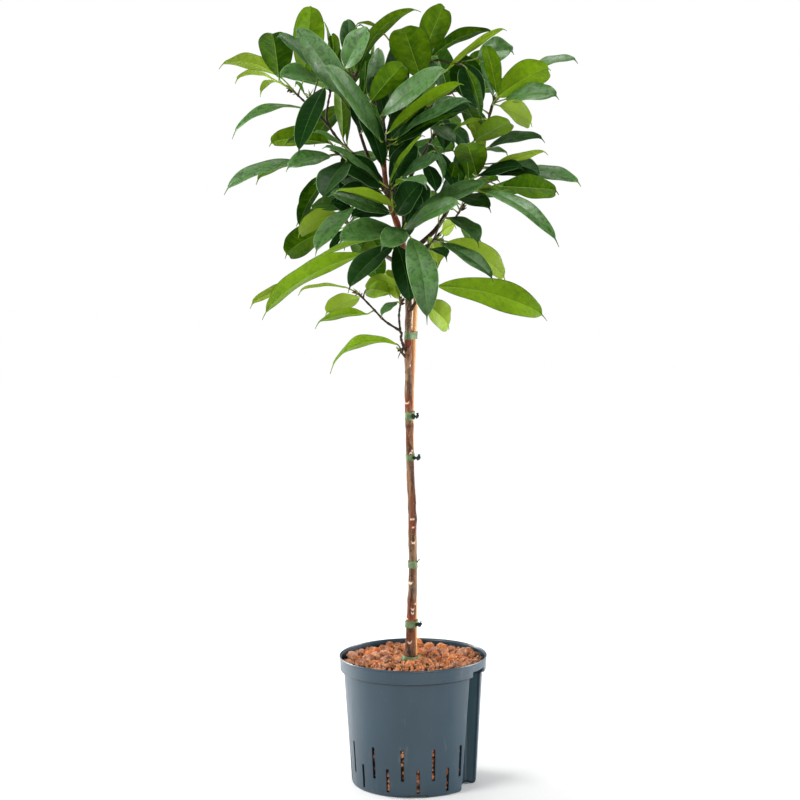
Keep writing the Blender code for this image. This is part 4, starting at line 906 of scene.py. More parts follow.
@dataclass
class CulturePot:
    """Turned plastic pot with lip, rim band, gauge channel, two rows of slots and foot notch."""

    rim_r: float = 0.1088
    rim_h: float = 0.192
    band_r: float = 0.1076
    band_h: float = 0.0202
    wall_top_r: float = 0.1022
    wall_low_r: float = 0.0925
    foot_r: float = 0.0880
    corner_h: float = 0.0060
    hollow_h: float = 0.1672
    wall: float = 0.0020
    channel_at: float = 64.3
    channel_w: tuple[float, float] = (0.0360, 0.0475)
    channel_r: tuple[float, float] = (0.0790, 0.0725)
    channel_top: float = 0.1788
    slot_w: float = 0.0048
    slot_r: float = 0.0945
    slot_count: int = 13
    slot_tall: tuple[float, float] = (0.025, 0.072)
    slot_low: tuple[float, float] = (0.007, 0.042)
    slot_first: float = -10.2
    slot_clear: float = 17.0
    notch_at: float = 4.5
    notch_w: float = 0.026
    notch_h: float = 0.0030
    notch_in: float = 0.0060
    mouth_round: float = 0.0026
    back_round: float = 0.0030
    steady_from: float = 17.5

    def slots(self) -> list[tuple[float, float, float]]:
        """Angle round from the front and lowest and highest point of every slot."""
        found = []
        for k in range(self.slot_count):
            for turn, span in ((0.0, self.slot_tall), (0.5, self.slot_low)):
                at = self.slot_first + (k + turn) * 360.0 / self.slot_count
                if abs((at - self.channel_at + 180) % 360 - 180) > self.slot_clear:
                    found.append((at, *span))
        return found

    def wall_at(self, share: Array) -> Array:
        """Radius of the straight wall at shares of its height."""
        return self.wall_low_r + (self.wall_top_r - self.wall_low_r) * share

    def profile(self) -> Array:
        """Outer profile from the foot to the lip.

        The foot's corner is a quarter ellipse, and the wall curves out under the band in a
        hollow quarter ellipse that ends at the band's sharp lower edge.

        Returns:
            Rows of radius and height.
        """
        under = self.rim_h - self.band_h
        turn = np.linspace(0, np.pi / 2, 6)
        corner = np.stack([self.foot_r + (self.wall_low_r - self.foot_r) * np.sin(turn),
                           self.corner_h * (1 - np.cos(turn))], 1)
        heights = np.array([self.slot_low[0], 0.014, self.slot_tall[0], 0.034, self.slot_low[1], 0.052,
                            0.062, self.slot_tall[1], 0.085, 0.10, 0.115, 0.13, 0.145, 0.156, self.hollow_h])
        share = (heights - self.corner_h) / (self.hollow_h - self.corner_h)
        wall = np.stack([self.wall_at(share), heights], 1)
        rise, out = under - 0.0006 - self.hollow_h, self.band_r - 0.0004 - self.wall_top_r
        turn = np.linspace(0, np.pi / 2, 7)[1:]
        hollow = np.stack([self.wall_top_r + out * (1 - np.cos(turn)),
                           self.hollow_h + rise * np.sin(turn)], 1)
        top = self.channel_top
        band = [(self.band_r, z) for z in (under, under + 0.0012, top - 0.0008, top)]
        lip = [(self.band_r + 0.0001, top + 0.0001), (self.band_r + 0.0002, self.rim_h - 0.0034),
               (self.band_r + 0.0006, self.rim_h - 0.0029)]
        lip += [(self.rim_r - less, self.rim_h - down)
                for less, down in ((0.0, 0.0024), (0.0, 0.0008), (0.0003, 0.0002), (0.0009, 0.0))]
        return np.vstack([corner, wall, hollow, band, lip])

    def columns(self) -> Array:
        """Angles from the channel at which the columns stand: an even spread and the slots' edges."""
        even = np.radians(np.arange(self.steady_from, 360.5 - self.steady_from, 2.6))
        half = self.slot_w / 2 / self.slot_r
        edges = np.array([math.radians((at - self.channel_at) % 360) + s * half
                          for at, _, _ in self.slots() for s in (-1, 1)])
        free = np.abs(even[:, None] - edges[None, :]).min(1) > math.radians(0.7)
        return np.sort(np.concatenate([even[free], edges]))

    def outline(self, radius: Array, height: Array, steady: Array) -> Array:
        """Plan outline of each row, in the channel's own frame.

        It is the circle from one mouth edge of the channel to the other; then it goes in, along
        the back wall and out, round corners that are parabolas. Above the channel the circle
        goes on across its mouth.

        Args:
            radius: Radius of each row.
            height: Height of each row.
            steady: Angles of the columns that keep their place.

        Returns:
            Rows of points as complex numbers, outwards from the axis and across the channel.
        """
        low = (1.0 - height / self.channel_top)[:, None]
        half = (self.channel_w[0] + (self.channel_w[1] - self.channel_w[0]) * low) / 2
        back = self.channel_r[0] + (self.channel_r[1] - self.channel_r[0]) * low
        radius = radius[:, None]
        mouth = np.arcsin(np.clip(half / radius, -1, 1))
        first = mouth + self.mouth_round / radius
        lead = first + (steady[0] - first) * np.linspace(0, 1, 4)[None, :-1]
        steady = np.broadcast_to(steady, (len(radius), len(steady)))
        angle = np.hstack([lead, steady, 2 * np.pi - lead[:, ::-1]])
        s = np.linspace(0, 1, 6)[None, :]

        def corner(at: Array, before: Array, after: Array, size: float) -> Array:
            """Parabola round a corner, tangent to both of its legs."""
            return ((1 - s)**2 * (at + size * before) + 2 * s * (1 - s) * at + s**2 * (at + size * after))

        edge, onward = radius * np.cos(mouth) + 1j * half, 1j * np.exp(1j * mouth)
        notch = np.hstack([corner(edge.conj(), onward.conj(), -1, self.mouth_round)[:, 1:],
                           corner(back - 1j * half, 1, 1j, self.back_round),
                           corner(back + 1j * half, -1j, 1, self.back_round),
                           corner(edge, -1, onward, self.mouth_round)[:, :-1]])
        closed = np.linspace(-1, 1, notch.shape[1] + 2)[None, 1:-1] * first
        inner = np.where((height <= self.channel_top)[:, None], notch, radius * np.exp(1j * closed))
        return np.hstack([radius * np.exp(1j * angle), inner])

    def build(self, plastic: Finish) -> Piece:
        """Shell through the outlines, slots left out, given its wall and stood in its place.

        Args:
            plastic: The pot's material.

        Returns:
            The finished pot.
        """
        profile, steady = self.profile(), self.columns()
        flat = self.outline(profile[:, 0], profile[:, 1], steady)
        n, m = flat.shape
        plan = flat * -1j * np.exp(1j * math.radians(self.channel_at))
        z = np.broadcast_to(profile[:, 1:2], (n, m)).copy()
        from_front = plan * np.exp(-1j * math.radians(self.notch_at))
        in_notch = (np.abs(from_front.real) < self.notch_w / 2) & (from_front.imag < 0)
        z[1:] = np.where(in_notch[1:], np.maximum(z[1:], self.notch_h), z[1:])
        plan[0][in_notch[0]] *= 1 - self.notch_in / self.foot_r
        points = np.stack([plan.real, plan.imag, z], -1).reshape(-1, 3)
        i, k = np.meshgrid(np.arange(n - 1), np.arange(m), indexing="ij")
        l = (k + 1) % m
        quads = np.stack([i * m + k, i * m + l, (i + 1) * m + l, (i + 1) * m + k], -1)
        keep = np.ones((n - 1, m), bool)
        middle = (profile[:-1, 1] + profile[1:, 1]) / 2
        ways = 1j * plan[n // 2] / np.abs(plan[n // 2])
        between = np.degrees(np.angle(ways + np.roll(ways, -1)))
        for at, z0, z1 in self.slots():
            column = np.abs((between - at + 180) % 360 - 180) < math.degrees(self.slot_w / 2 / self.slot_r)
            keep &= ~(column[None, :] & ((middle > z0) & (middle < z1))[:, None])
        mesh = bpy.data.meshes.new("culture_pot")
        mesh.from_pydata(points.tolist(), [], quads[keep].tolist() + [list(range(m))[::-1]])
        bm = bmesh.new()
        bm.from_mesh(mesh)
        bmesh.ops.recalc_face_normals(bm, faces=bm.faces)
        if sum(f.normal.x * f.calc_center_median().x for f in bm.faces) < 0:
            bmesh.ops.reverse_faces(bm, faces=bm.faces)
        bmesh.ops.triangulate(bm, faces=[f for f in bm.faces if len(f.verts) > 4])
        bmesh.ops.delete(bm, geom=[v for v in bm.verts if not v.link_faces], context="VERTS")
        bm.to_mesh(mesh)
        bm.free()
        ob = stand("culture_pot", mesh)
        shell = ob.modifiers.new("wall", "SOLIDIFY")
        shell.thickness = self.wall
        shell.offset = -1.0
        graph = bpy.context.evaluated_depsgraph_get()
        mesh = bpy.data.meshes.new_from_object(ob.evaluated_get(graph))
        ob.modifiers.clear()
        ob.data = mesh
        # nothing of the shell goes below the floor it stands on
        flat = np.empty(len(mesh.vertices) * 3)
        mesh.vertices.foreach_get("co", flat)
        flat[2::3] = np.maximum(flat[2::3], 0.0)
        mesh.vertices.foreach_set("co", flat)
        mesh.materials.append(plastic)
        mesh.shade_smooth()
        mesh.set_sharp_from_angle(angle=math.radians(32))
        return place(ob, "pot_plastic", "pot")


@dataclass
class ClayBed:
    """Broken clay pebbles heaped in the pot, on a bed that fills it, painted dark as the shade between them.

    Attributes:
        top: Mean height of the pebbles.
        reach: Radius that they fill at the top.
        layers: For each layer the number of pebbles, their least and largest radius, how far it
            lies below the top, and the y that they stay behind.
    """

    pot: CulturePot
    top: float = BED_TOP
    reach: float = 0.1046
    layers: tuple[tuple[int, float, float, float, float], ...] = (
        (230, 0.0055, 0.0080, 0.0095, -1.0), (150, 0.0060, 0.0098, 0.0048, -0.035),
        (90, 0.0058, 0.0095, 0.0010, -0.010), (420, 0.0030, 0.0046, 0.0030, -1.0),
        (330, 0.0020, 0.0036, 0.0012, -1.0))
    clear: float = 0.0094
    over_size: float = 0.0048
    chips: int = 7

    def pebbles(self, shape: Shape, at: Array, size: Array, rng: Chance, shade_tint: float = 0.0) -> None:
        """Add broken pebbles.

        Each is a ball of 42 points, stretched and turned at random, with a few flat faces
        broken off it: a point past a plane is moved back to it along the plane's normal.

        Args:
            shape: Shape that takes them.
            at: Middles, one a row.
            size: Radius of each.
            rng: Source of chance.
            shade_tint: How much darker they are painted, as shade inside the pot behind the slots.
        """
        ball = bmesh.new()
        bmesh.ops.create_icosphere(ball, subdivisions=2, radius=1.0)
        base = np.array([v.co for v in ball.verts])
        corners = np.array([[v.index for v in f.verts] for f in ball.faces])
        ball.free()
        count = len(at)
        points = np.broadcast_to(base, (count, *base.shape)).copy()
        for _ in range(self.chips):
            normal = unit(rng.normal(size=(count, 1, 3)))
            depth = rng.uniform(0.55, 0.88, (count, 1))
            over = np.maximum(np.einsum("nij,nkj->ni", points, normal) - depth, 0.0)
            points -= over[..., None] * normal
        points *= 1 + rng.normal(0, 0.05, (count, len(base), 1))
        points *= rng.uniform(0.72, 1.28, (count, 1, 3))
        turn, _ = np.linalg.qr(rng.normal(size=(count, 3, 3)))
        points = np.einsum("nij,nkj->nki", turn, points) * size[:, None, None] + at[:, None, :]
        shade = np.clip(rng.normal(0.60 - shade_tint, 0.42, (count, 1)), 0, 1)
        hue = rng.uniform(0, 1, (count, 1))
        # painted shade: points below the top are darker, as in the gaps between pebbles; pebbles with a
        # painted tint get none
        hollow = 0.95 * smoothstep(self.top - 0.0002, self.top - 0.0056, points[..., 2]) * (shade_tint == 0)
        note = np.stack(np.broadcast_arrays(shade, hue, hollow), -1).reshape(-1, 3)
        flip = np.linalg.det(turn) < 0
        faces = corners[None] + np.arange(count)[:, None, None] * len(base)
        faces = np.where(flip[:, None, None], faces[..., ::-1], faces).reshape(-1, 3)
        shape.add(points.reshape(-1, 3), np.zeros((0, 4), int), faces, pebble=note)

    def filling(self, shape: Shape) -> None:
        """Add the bed, painted dark as shade: rings a little inside the wall, round the channel, with a flat
        top.
        """
        pot = self.pot
        heights = np.array([0.004, 0.010, 0.03, 0.06, 0.09, 0.12, 0.15, 0.168, self.top - 0.008])
        share = np.clip((heights - 0.006) / 0.1575, 0, 1)
        radius = pot.wall_at(share) - 0.0062
        angle = turns(120)[None, :]
        a = math.radians(pot.channel_at)
        away = angle - (a - np.pi / 2)
        stop = (pot.channel_r[1] - 0.005) / np.maximum(np.cos(away), 0.05)
        wide = np.abs(np.angle(np.exp(1j * away))) < 0.42
        limit = np.where(wide, np.minimum(radius[:, None], stop), radius[:, None])
        rings = np.stack([limit * np.cos(angle), limit * np.sin(angle),
                          np.broadcast_to(heights[:, None], limit.shape)], -1)
        # brown clay, mostly covered by painted shade
        shape.loft(rings, pebble=np.array([0.1, 0.2, 0.82]))

    def over_channel(self, at: Array, size: Array) -> Array:
        """Pebbles that would reach into the gauge channel, and so have to lie on its roof.

        One does if its middle lies within its radius and two millimetres of the channel's plan.

        Args:
            at: Middles, one a row.
            size: Radius of each.

        Returns:
            Whether each pebble lies there.
        """
        a = math.radians(self.pot.channel_at)
        out = at[:, 0] * math.sin(a) - at[:, 1] * math.cos(a)
        across = at[:, 0] * math.cos(a) + at[:, 1] * math.sin(a)
        margin = 1.2 * size + 0.002
        deep = out > self.pot.channel_r[0] - margin
        return deep & (np.abs(across) < self.pot.channel_w[0] / 2 + margin)

    def build(self, clay: Finish, trunk: tuple[float, float]) -> Piece:
        """Heap the pebbles and put some behind every slot.

        Args:
            clay: The clay's material.
            trunk: Place of the trunk, which they keep clear of.

        Returns:
            The finished bed.
        """
        rng = np.random.default_rng(20)
        shape = Shape(("pebble",))
        self.filling(shape)
        for number, small, large, depth, behind in self.layers:
            size = rng.uniform(small, large, number)
            turn = np.arange(number) * np.pi * (3 - math.sqrt(5))
            far = (self.reach - size * 0.92) * np.sqrt((np.arange(number) + 0.5) / number)
            at = np.stack([far * np.cos(turn), far * np.sin(turn), np.full(number, self.top - depth)], 1)
            at += rng.normal(0, 1, (number, 3)) * (0.0030, 0.0030, 0.0010)
            away = at[:, :2] - trunk
            gone = np.hypot(away[:, 0], away[:, 1] * np.where(away[:, 1] < 0, 0.6, 1)) < self.clear
            gone |= at[:, 1] < behind
            far = np.hypot(at[:, 0], at[:, 1])
            pull = np.minimum(1.0, (self.reach - size * 0.92) / far)
            at[:, :2] *= pull[:, None]
            over = self.over_channel(at, size)
            size = np.where(over, np.minimum(size, self.over_size), size)
            rest = self.pot.channel_top + 0.0008 + 1.15 * size
            at[:, 2] = np.where(over, np.maximum(at[:, 2], rest), at[:, 2])
            self.pebbles(shape, at[~gone], size[~gone], rng)
        for slot_at, z0, z1 in self.pot.slots():
            number = int((z1 - z0) / 0.0066)
            z = z0 + (z1 - z0) * (np.arange(number) + rng.uniform(0.2, 0.8, number)) / number
            size = rng.uniform(0.0026, 0.0052, number)
            far = self.pot.wall_at(z / 0.165) - 0.0030 - size * rng.uniform(0.6, 1.5, number)
            a = math.radians(slot_at) + rng.normal(0, 0.012, number)
            at = np.stack([far * np.sin(a), -far * np.cos(a), z], 1)
            # the pebbles seen through the slots are painted darker, as the pot's shade
            self.pebbles(shape, at, size, rng, 0.15)
        return place(shape.build("clay_pebbles", [clay], 22), "fired_clay", "granulate")


@dataclass
class Stem:
    """Trunk with its leader and branches, and the stake beside it.

    Attributes:
        trunk, branches: Column, row, depth and radius in millimetres up the trunk and each branch.
        stake: Column, row and depth up the stake.
        scars: Leaf scars: row, columns right of the axis, half width and thickness in
            millimetres, and lift of the ends.
        fresh, weathered: Red and grey bark: row, half height in rows and strength.
        blots, dry: Dark and pale patches: row, columns right of the axis, half width, half
            height and strength.
        rings: Swollen rings: row, half height in rows and swelling in millimetres.
        sunk: How far trunk and stake go on below the top of the pebbles.
    """

    trunk: list
    branches: list
    stake: list
    scars: tuple = (
        (641.5, -0.4, 2.9, 1.6, 3), (618.5, -4.8, 2.2, 1.3, -1.5), (612.5, 1.3, 2.2, 1.3, 2.4),
        (608.5, 1.2, 2.6, 1.4, 2.2), (603.5, 3.9, 1.2, 1.6, 0.6), (582.5, -2.2, 2.8, 2.2, 1.5),
        (542, 0.8, 3, 1.4, 1.8), (527, 0.6, 1.6, 1, 0.8), (519, 0, 3, 1, 0.4), (453, 1, 2.6, 1.3, -2.6),
        (450.5, 2.6, 1, 1.6, 1.5), (402.5, -1.6, 3, 1.5, 2), (365.5, 2, 1.2, 1.2, 1),
        (355, -3.4, 1, 0.9, 0.6))
    fresh: tuple = (
        (617, 4.5, 0.95), (606, 8, 0.55), (640, 10, 0.35), (524, 6, 0.7), (498, 26, 0.3), (438, 10, 0.4),
        (404, 8, 0.8), (341, 6.5, 1), (352, 12, 0.4), (222, 14, 0.95), (150, 36, 0.9))
    weathered: tuple = (
        (590, 9, 0.95), (556, 14, 0.5), (470, 16, 0.45), (372, 22, 0.45), (322, 16, 0.9), (648, 5, 0.5))
    blots: tuple = (
        (385, 1.2, 2, 7, 0.85), (410, -4.2, 1.2, 22, 0.75), (426, 0, 5, 1.5, 0.85), (416, 1.5, 2, 5, 0.5),
        (478, 3.4, 1.3, 20, 0.95), (502, -4, 1.2, 17, 0.8), (520, 3.6, 1.5, 6, 0.7),
        (552, -2.8, 1.9, 9, 0.9), (575, -2.4, 2.2, 7, 0.9), (590, 1.2, 2.4, 3, 0.85),
        (599, -1.2, 3, 3, 0.85), (640, -3.4, 1.6, 15, 0.7), (629, 1, 3.2, 2, 0.8), (338, -3, 1.8, 4, 0.95),
        (355, 0.4, 2.2, 5, 0.95), (365, -4, 1.2, 12, 0.8), (648, 3.4, 1.5, 8, 0.8),
        (612, 4.2, 1.2, 10, 0.7), (325, -4, 1.3, 12, 0.7), (445, 3.8, 1.2, 8, 0.7),
        (535, -4.2, 1.2, 10, 0.7))
    dry: tuple = (
        (388, -3.2, 1.6, 9, 0.9), (415, -1.5, 1.8, 8, 0.5), (482, -1.6, 1.6, 18, 0.9),
        (552, 2.4, 2.2, 9, 0.85), (585, 3.6, 1.6, 16, 0.8), (440, 2.6, 1.4, 10, 0.7),
        (372, -1.5, 1.8, 10, 0.7), (528, 3.6, 1.2, 10, 0.6), (644, 3.8, 1.4, 6, 0.6))
    rings: tuple = (
        (649, 6, 0.7), (596, 4, 0.5), (584, 5, 0.6), (571, 3, 0.3), (544, 4, 0.5), (520, 4, 0.6),
        (502, 3, 0.25), (487, 4, 0.4), (453, 4, 0.3), (426.5, 2.5, 0.9), (403, 4, 0.6), (386, 3, 0.3),
        (357, 7, 0.8), (343, 5, 0.7), (236, 4, 0.6), (222, 3, 0.5), (209, 3, 0.5), (160, 2, 0.4),
        (150, 2, 0.4), (140, 2, 0.4), (128, 2, 0.3))
    stake_r: float = 0.0040
    stake_foot: tuple[float, float] = (0.0018, 0.0122)
    sunk: float = 0.012
    sides: int = 44

    def axis(self) -> tuple[Array, Array]:
        """Middle line of the trunk and its radius at each point."""
        foot = VIEW.seen(409.6, 652)
        line = [(foot[0], 0.0, 0.070), (foot[0], 0.0, 0.1900), tuple(VIEW.seen(410.6, 628))]
        radii = [0.0076, 0.0076, 0.0066]
        for column, row, depth, radius in self.trunk:
            line.append(tuple(VIEW.seen(column, row, depth)))
            radii.append(radius * MM)
        return np.array(line), np.array(radii)

    def stake_line(self) -> Array:
        """Middle line of the stake."""
        foot = [(*self.stake_foot, 0.020), (*self.stake_foot, 0.190)]
        return np.array(foot + [tuple(VIEW.seen(*r)) for r in self.stake])

    def seats(self) -> list[tuple[Array, Array]]:
        """Free ends of the trunk and its branches, each with the way that it points."""
        line, _ = self.axis()
        ends = [line[-2:]] + [VIEW.lines(branch[-2:]) for branch in self.branches]
        return [(end, unit(end - before)) for before, end in ends]

    def marks(self, z: Array, arc: Array) -> tuple[Array, ...]:
        """Scars, fresh and weathered bark, patches and swelling at places on the trunk.

        A scar is a crescent: the distance from a parabola over the arc, within its half width.
        The rest are bell curves of the height.

        Args:
            z: Heights of the places.
            arc: Their distance round the trunk from the middle of its front, to the right.

        Returns:
            Six arrays: scar, fresh, weathered, dark, dry (nought to one) and swelling in metres.
        """
        px = COLUMN

        def height(row: float) -> float:
            """Height of a row of the elevation at the trunk."""
            return float(VIEW.seen(410.0, row)[2])

        scar, swell = np.zeros_like(z), np.zeros_like(z)
        for row, column, half, thick, lift in self.scars:
            s = (arc - column * px) / (half * MM)
            curve = height(row) + lift * MM * (s**2 - 0.4)
            inside = smoothstep(1.25, 0.8, np.abs(s))
            line = smoothstep(1.0, 0.35, np.abs(z - curve) / (thick * MM))
            scar = np.maximum(scar, smoothstep(1.25, 0.8, np.abs(s)) * line)
        totals = []
        for stretches in (self.fresh, self.weathered):
            totals.append(np.max([strength * bell(z - height(row), half * px)
                                  for row, half, strength in stretches], axis=0))
        for patches in (self.blots, self.dry):
            totals.append(np.max([strength * bell(z - height(row), tall * px)
                                  * bell(arc - column * px - 0.0006 * np.sin(z * 400 + row), half * px)
                                  for row, column, half, tall, strength in patches], axis=0))
        for row, half, mm in self.rings:
            lean = 0.9 * MM * np.sin(arc / 0.0035 + row)
            swell += mm * MM * bell(z - height(row) - lean, half * px)
        return scar, *totals, swell

    def bark(self, finish: Finish, rng: Chance) -> Piece:
        """Trunk as rings with swellings, scars and furrows, and its branches sunk into it."""
        line, radii = (part[1:] for part in self.axis())
        line = np.vstack([(line[0, 0], 0.0, BED_TOP - self.sunk), line])
        radii = np.concatenate([radii[:1], radii])
        fine = spline(np.hstack([line, radii[:, None]]), 620)
        path, radius = fine[:, :3], fine[:, 3]
        rings = rings_along(path, radius, self.sides)
        offset = unit(rings - path[:, None, :])
        angle = np.arctan2(offset[..., 0], -offset[..., 1])
        z = rings[..., 2]
        scar, fresh, weathered, blot, dry, swell = self.marks(z, angle * radius[:, None])
        furrow = (0.10 * np.sin(3 * angle + 9 * np.sin(z * 23)) + 0.07 * np.sin(7 * angle + z * 90)
                  + 0.05 * np.sin(11 * angle - z * 160) + 0.10 * np.sin(angle + z * 61))
        grow = swell * (0.75 + 0.25 * np.sin(2 * angle + z * 300)) + 0.0005 * scar
        rings = path[:, None, :] + offset * (radius[:, None] * (1 + 0.55 * furrow) + grow)[..., None]
        # painted shade: inside the crown the trunk is darker, as under the leaves, except where its bark is
        # fresh
        crown = smoothstep(0.82, 0.86, z)
        shape = Shape(("bark_at", "bark_more"))
        dark = np.maximum(0.35 * crown * (1 - fresh), blot)
        shape.loft(rings, bark_at=np.stack([scar, fresh, weathered], -1),
                   bark_more=np.stack([0 * z, dark * (1 - scar), dry], -1))
        for branch in self.branches:
            points = VIEW.lines(branch)
            size = np.array([b[3] for b in branch]) * MM
            count = 16 * len(branch)
            fine = spline(np.hstack([points, size[:, None]]), count)
            bead = 0.10 * np.sin(np.arange(count) * 1.35) ** 6 + rng.normal(0, 0.02, count)
            rings = rings_along(fine[:, :3], fine[:, 3] * (1 + bead), 14)
            colour = np.array([0.6, 0.9, 0.0] if fine[0, 2] < 0.80 else [0.9, 0.75, 0.0])
            shape.loft(rings, bark_at=np.zeros(3), bark_more=colour)
        return place(shape.build("bark_stem", [finish]), "bark", "trunk")

    def cane(self, finish: Finish) -> Piece:
        """Stake as rings along its line, slightly swollen at its joints."""
        line = self.stake_line()[1:]
        line[0, 2] = BED_TOP - self.sunk
        path = spline(line, 260)
        z = path[:, 2]
        radius = self.stake_r * (1 + 0.06 * bell((z % 0.19) - 0.095, 0.004))
        rings = rings_along(path, radius, 32)
        shape = Shape()
        shape.loft(rings)
        return place(shape.build("cane_stake", [finish]), "cane", "stake")


@dataclass
class Ties:
    """Bands of green tape round trunk and stake, their twisted ends and a loose length.

    Attributes:
        bands: For each tie its row, height in metres, and the length of its twisted end.
    """

    stem: Stem
    bands: tuple[tuple[float, float, float], ...] = (
        (336.0, 0.011, 0.0), (416.5, 0.012, 0.0080), (458.0, 0.009, 0.0090), (565.0, 0.0105, 0.0),
        (624.8, 0.0095, 0.0085))
    thick: float = 0.0007
    shared: float = 0.0006

    def hull(self, z: Array, angle: Array, grow: float, widest: float) -> Array:
        """Outline round trunk and stake: in each direction the one that reaches further.

        Args:
            z: Heights of the points.
            angle: Directions of the points, in radians.
            grow: Distance outside the bark.
            widest: Radius taken for the trunk.

        Returns:
            The points.
        """
        out = np.stack([np.cos(angle), np.sin(angle)], -1)
        ends = []
        for path, radius in ((self.stem.axis()[0], widest + grow),
                             (self.stem.stake_line(), self.stem.stake_r + self.shared + grow)):
            middle = middle_at(path, z)
            ends.append((middle + out * radius, (middle * out).sum(-1) + radius))
        far = smoothstep(-0.0009, 0.0009, ends[1][1] - ends[0][1])[..., None]
        return np.concatenate([ends[0][0] * (1 - far) + ends[1][0] * far, z[..., None]], -1)

    def band(self, shape: Shape, row: float, height: float, phase: float) -> tuple[Array, float]:
        """Add one band: a flat loop with rounded edges, a little slack and creased.

        Args:
            shape: Shape that takes it.
            row: Row of its middle.
            height: Its height in metres.
            phase: Where its creases begin.

        Returns:
            The trunk's middle at the band and the radius taken for the trunk.
        """
        middle = float(VIEW.seen(410, row, -6)[2])
        line, radii = self.stem.axis()
        near = (line[:-1, 2] <= middle + height) & (line[1:, 2] >= middle - height)
        widest = float(np.maximum(radii[:-1], radii[1:])[near].max()) + 0.0002
        angle, section = turns(120)[:, None], turns(16)[None, :]
        up = np.sign(np.cos(section)) * np.abs(np.cos(section)) ** 0.35
        out = np.sin(section)
        edge = 0.0005 * np.sin(3 * angle + phase) + 0.0003 * np.sin(8 * angle + 2 * phase)
        z = middle + up * height / 2 + edge * (0.5 + 0.5 * up)
        crease = 0.00018 * np.sin(9 * angle + 3 * up + phase) + 0.00012 * np.sin(23 * angle - 5 * up)
        inner, outer = (self.hull(z, angle + 0 * section, grow, widest) for grow in (0.0, self.thick))
        share = (0.5 + 0.5 * out)[..., None]
        direction = unit(outer - inner)
        rings = inner * (1 - share) + outer * share + direction * crease[..., None] * share
        shape.loft(rings, 0, closed=True)
        return np.array([*middle_at(line, middle), middle]), widest

    def tail(self, shape: Shape, start: Array, reach: float, rise: float, phase: float) -> None:
        """Add the twisted end: flat ribbons that wind out of the band and splay."""
        for k, (turns, lift, back) in enumerate(((1.2, 0.05, 0.0), (-1.6, 0.5, 0.5), (0.9, -0.5, -0.4))):
            ends = np.array([start + (-0.0015, 0.001 * back, 0.0),
                             start + (0.35 * reach, -0.0012 + 0.001 * back, 0.15 * rise),
                             start + (0.72 * reach, -0.0016 + 0.002 * back,
                                      0.5 * rise + 0.25 * lift * reach),
                             start + (reach * (1 - 0.22 * k), -0.0005 + 0.003 * back, rise + lift * reach)])
            path = spline(ends, 26)
            t = np.linspace(0, 1, 26)
            radius = 0.0040 * (0.72 + 0.34 * np.sin(6 * t + phase + k)) * (1 - 0.55 * t**2)
            shape.loft(rings_along(path, radius, 10, 0.5, turns), 1)

    def build(self, tape: Finish, shaded_knot: Finish) -> list[Piece]:
        """Make the five ties and the loose length.

        Args:
            tape: Material of the flat tape.
            shaded_knot: Material of the twisted ends, a near-black copy of the tape that paints their shade.

        Returns:
            The finished pieces.
        """
        made = []
        for k, (row, height, tail) in enumerate(self.bands):
            shape = Shape()
            centre, widest = self.band(shape, row, height, 1.7 * k)
            if tail:
                start = centre + (widest + 0.0006, -0.004, 0.0)
                self.tail(shape, start, tail, (0.0018, 0.0010, 0.0006)[k % 3], 1.1 * k)
            if k == 3:
                start = centre + (widest + 0.0002, -0.003, 0.0045)
                stub = np.array([start, start + (0.002, -0.001, 0.0015), start + (0.0035, 0.0, 0.004)])
                shape.loft(rings_along(spline(stub, 12), np.linspace(0.0013, 0.0006, 12), 8, 0.4, 0.6), 1)
            made.append(place(shape.build(f"tape_band_{k + 1}", [tape, shaded_knot], 40), "tie_tape",
                              f"tie_{k + 1}"))
        made.append(self.loose(tape))
        return made

    def loose(self, tape: Finish) -> Piece:
        """Length of tape lying round the foot of the trunk, its right end lifted and curled."""
        middle = middle_at(self.stem.axis()[0], BED_TOP)
        f = np.linspace(0, 1, 60)[:, None]
        angle = np.radians(200 + 170 * f)
        radius = 0.0110 + 0.006 * np.maximum(0.0, f - 0.6) + 0.0060 * np.sin(np.pi * f)
        low = BED_TOP - 0.0030 + 0.016 * np.maximum(0.0, f - 0.72) ** 1.2
        section = turns(14)[None, :]
        up = np.sign(np.cos(section)) * np.abs(np.cos(section)) ** 0.4
        narrow = 1 - 0.45 * smoothstep(0.75, 1.0, f)
        tall = 0.0095 * (0.5 + 0.5 * up * narrow)
        lean = 0.0016 * (1 - tall / 0.0095)
        wave = 0.0004 * np.sin(14 * f + 2 * up) + 0.0003 * np.sin(31 * f)
        r = radius + lean + self.thick * (0.5 + 0.5 * np.sin(section)) + wave
        rings = np.stack([middle[0] + r * np.cos(angle), middle[1] + r * np.sin(angle),
                          low + tall + 0.0006 * np.sin(9 * f)], -1)
        shape = Shape()
        shape.loft(rings)
        return place(shape.build("tape_loose_end", [tape], 40), "tie_tape", "tape_loose")


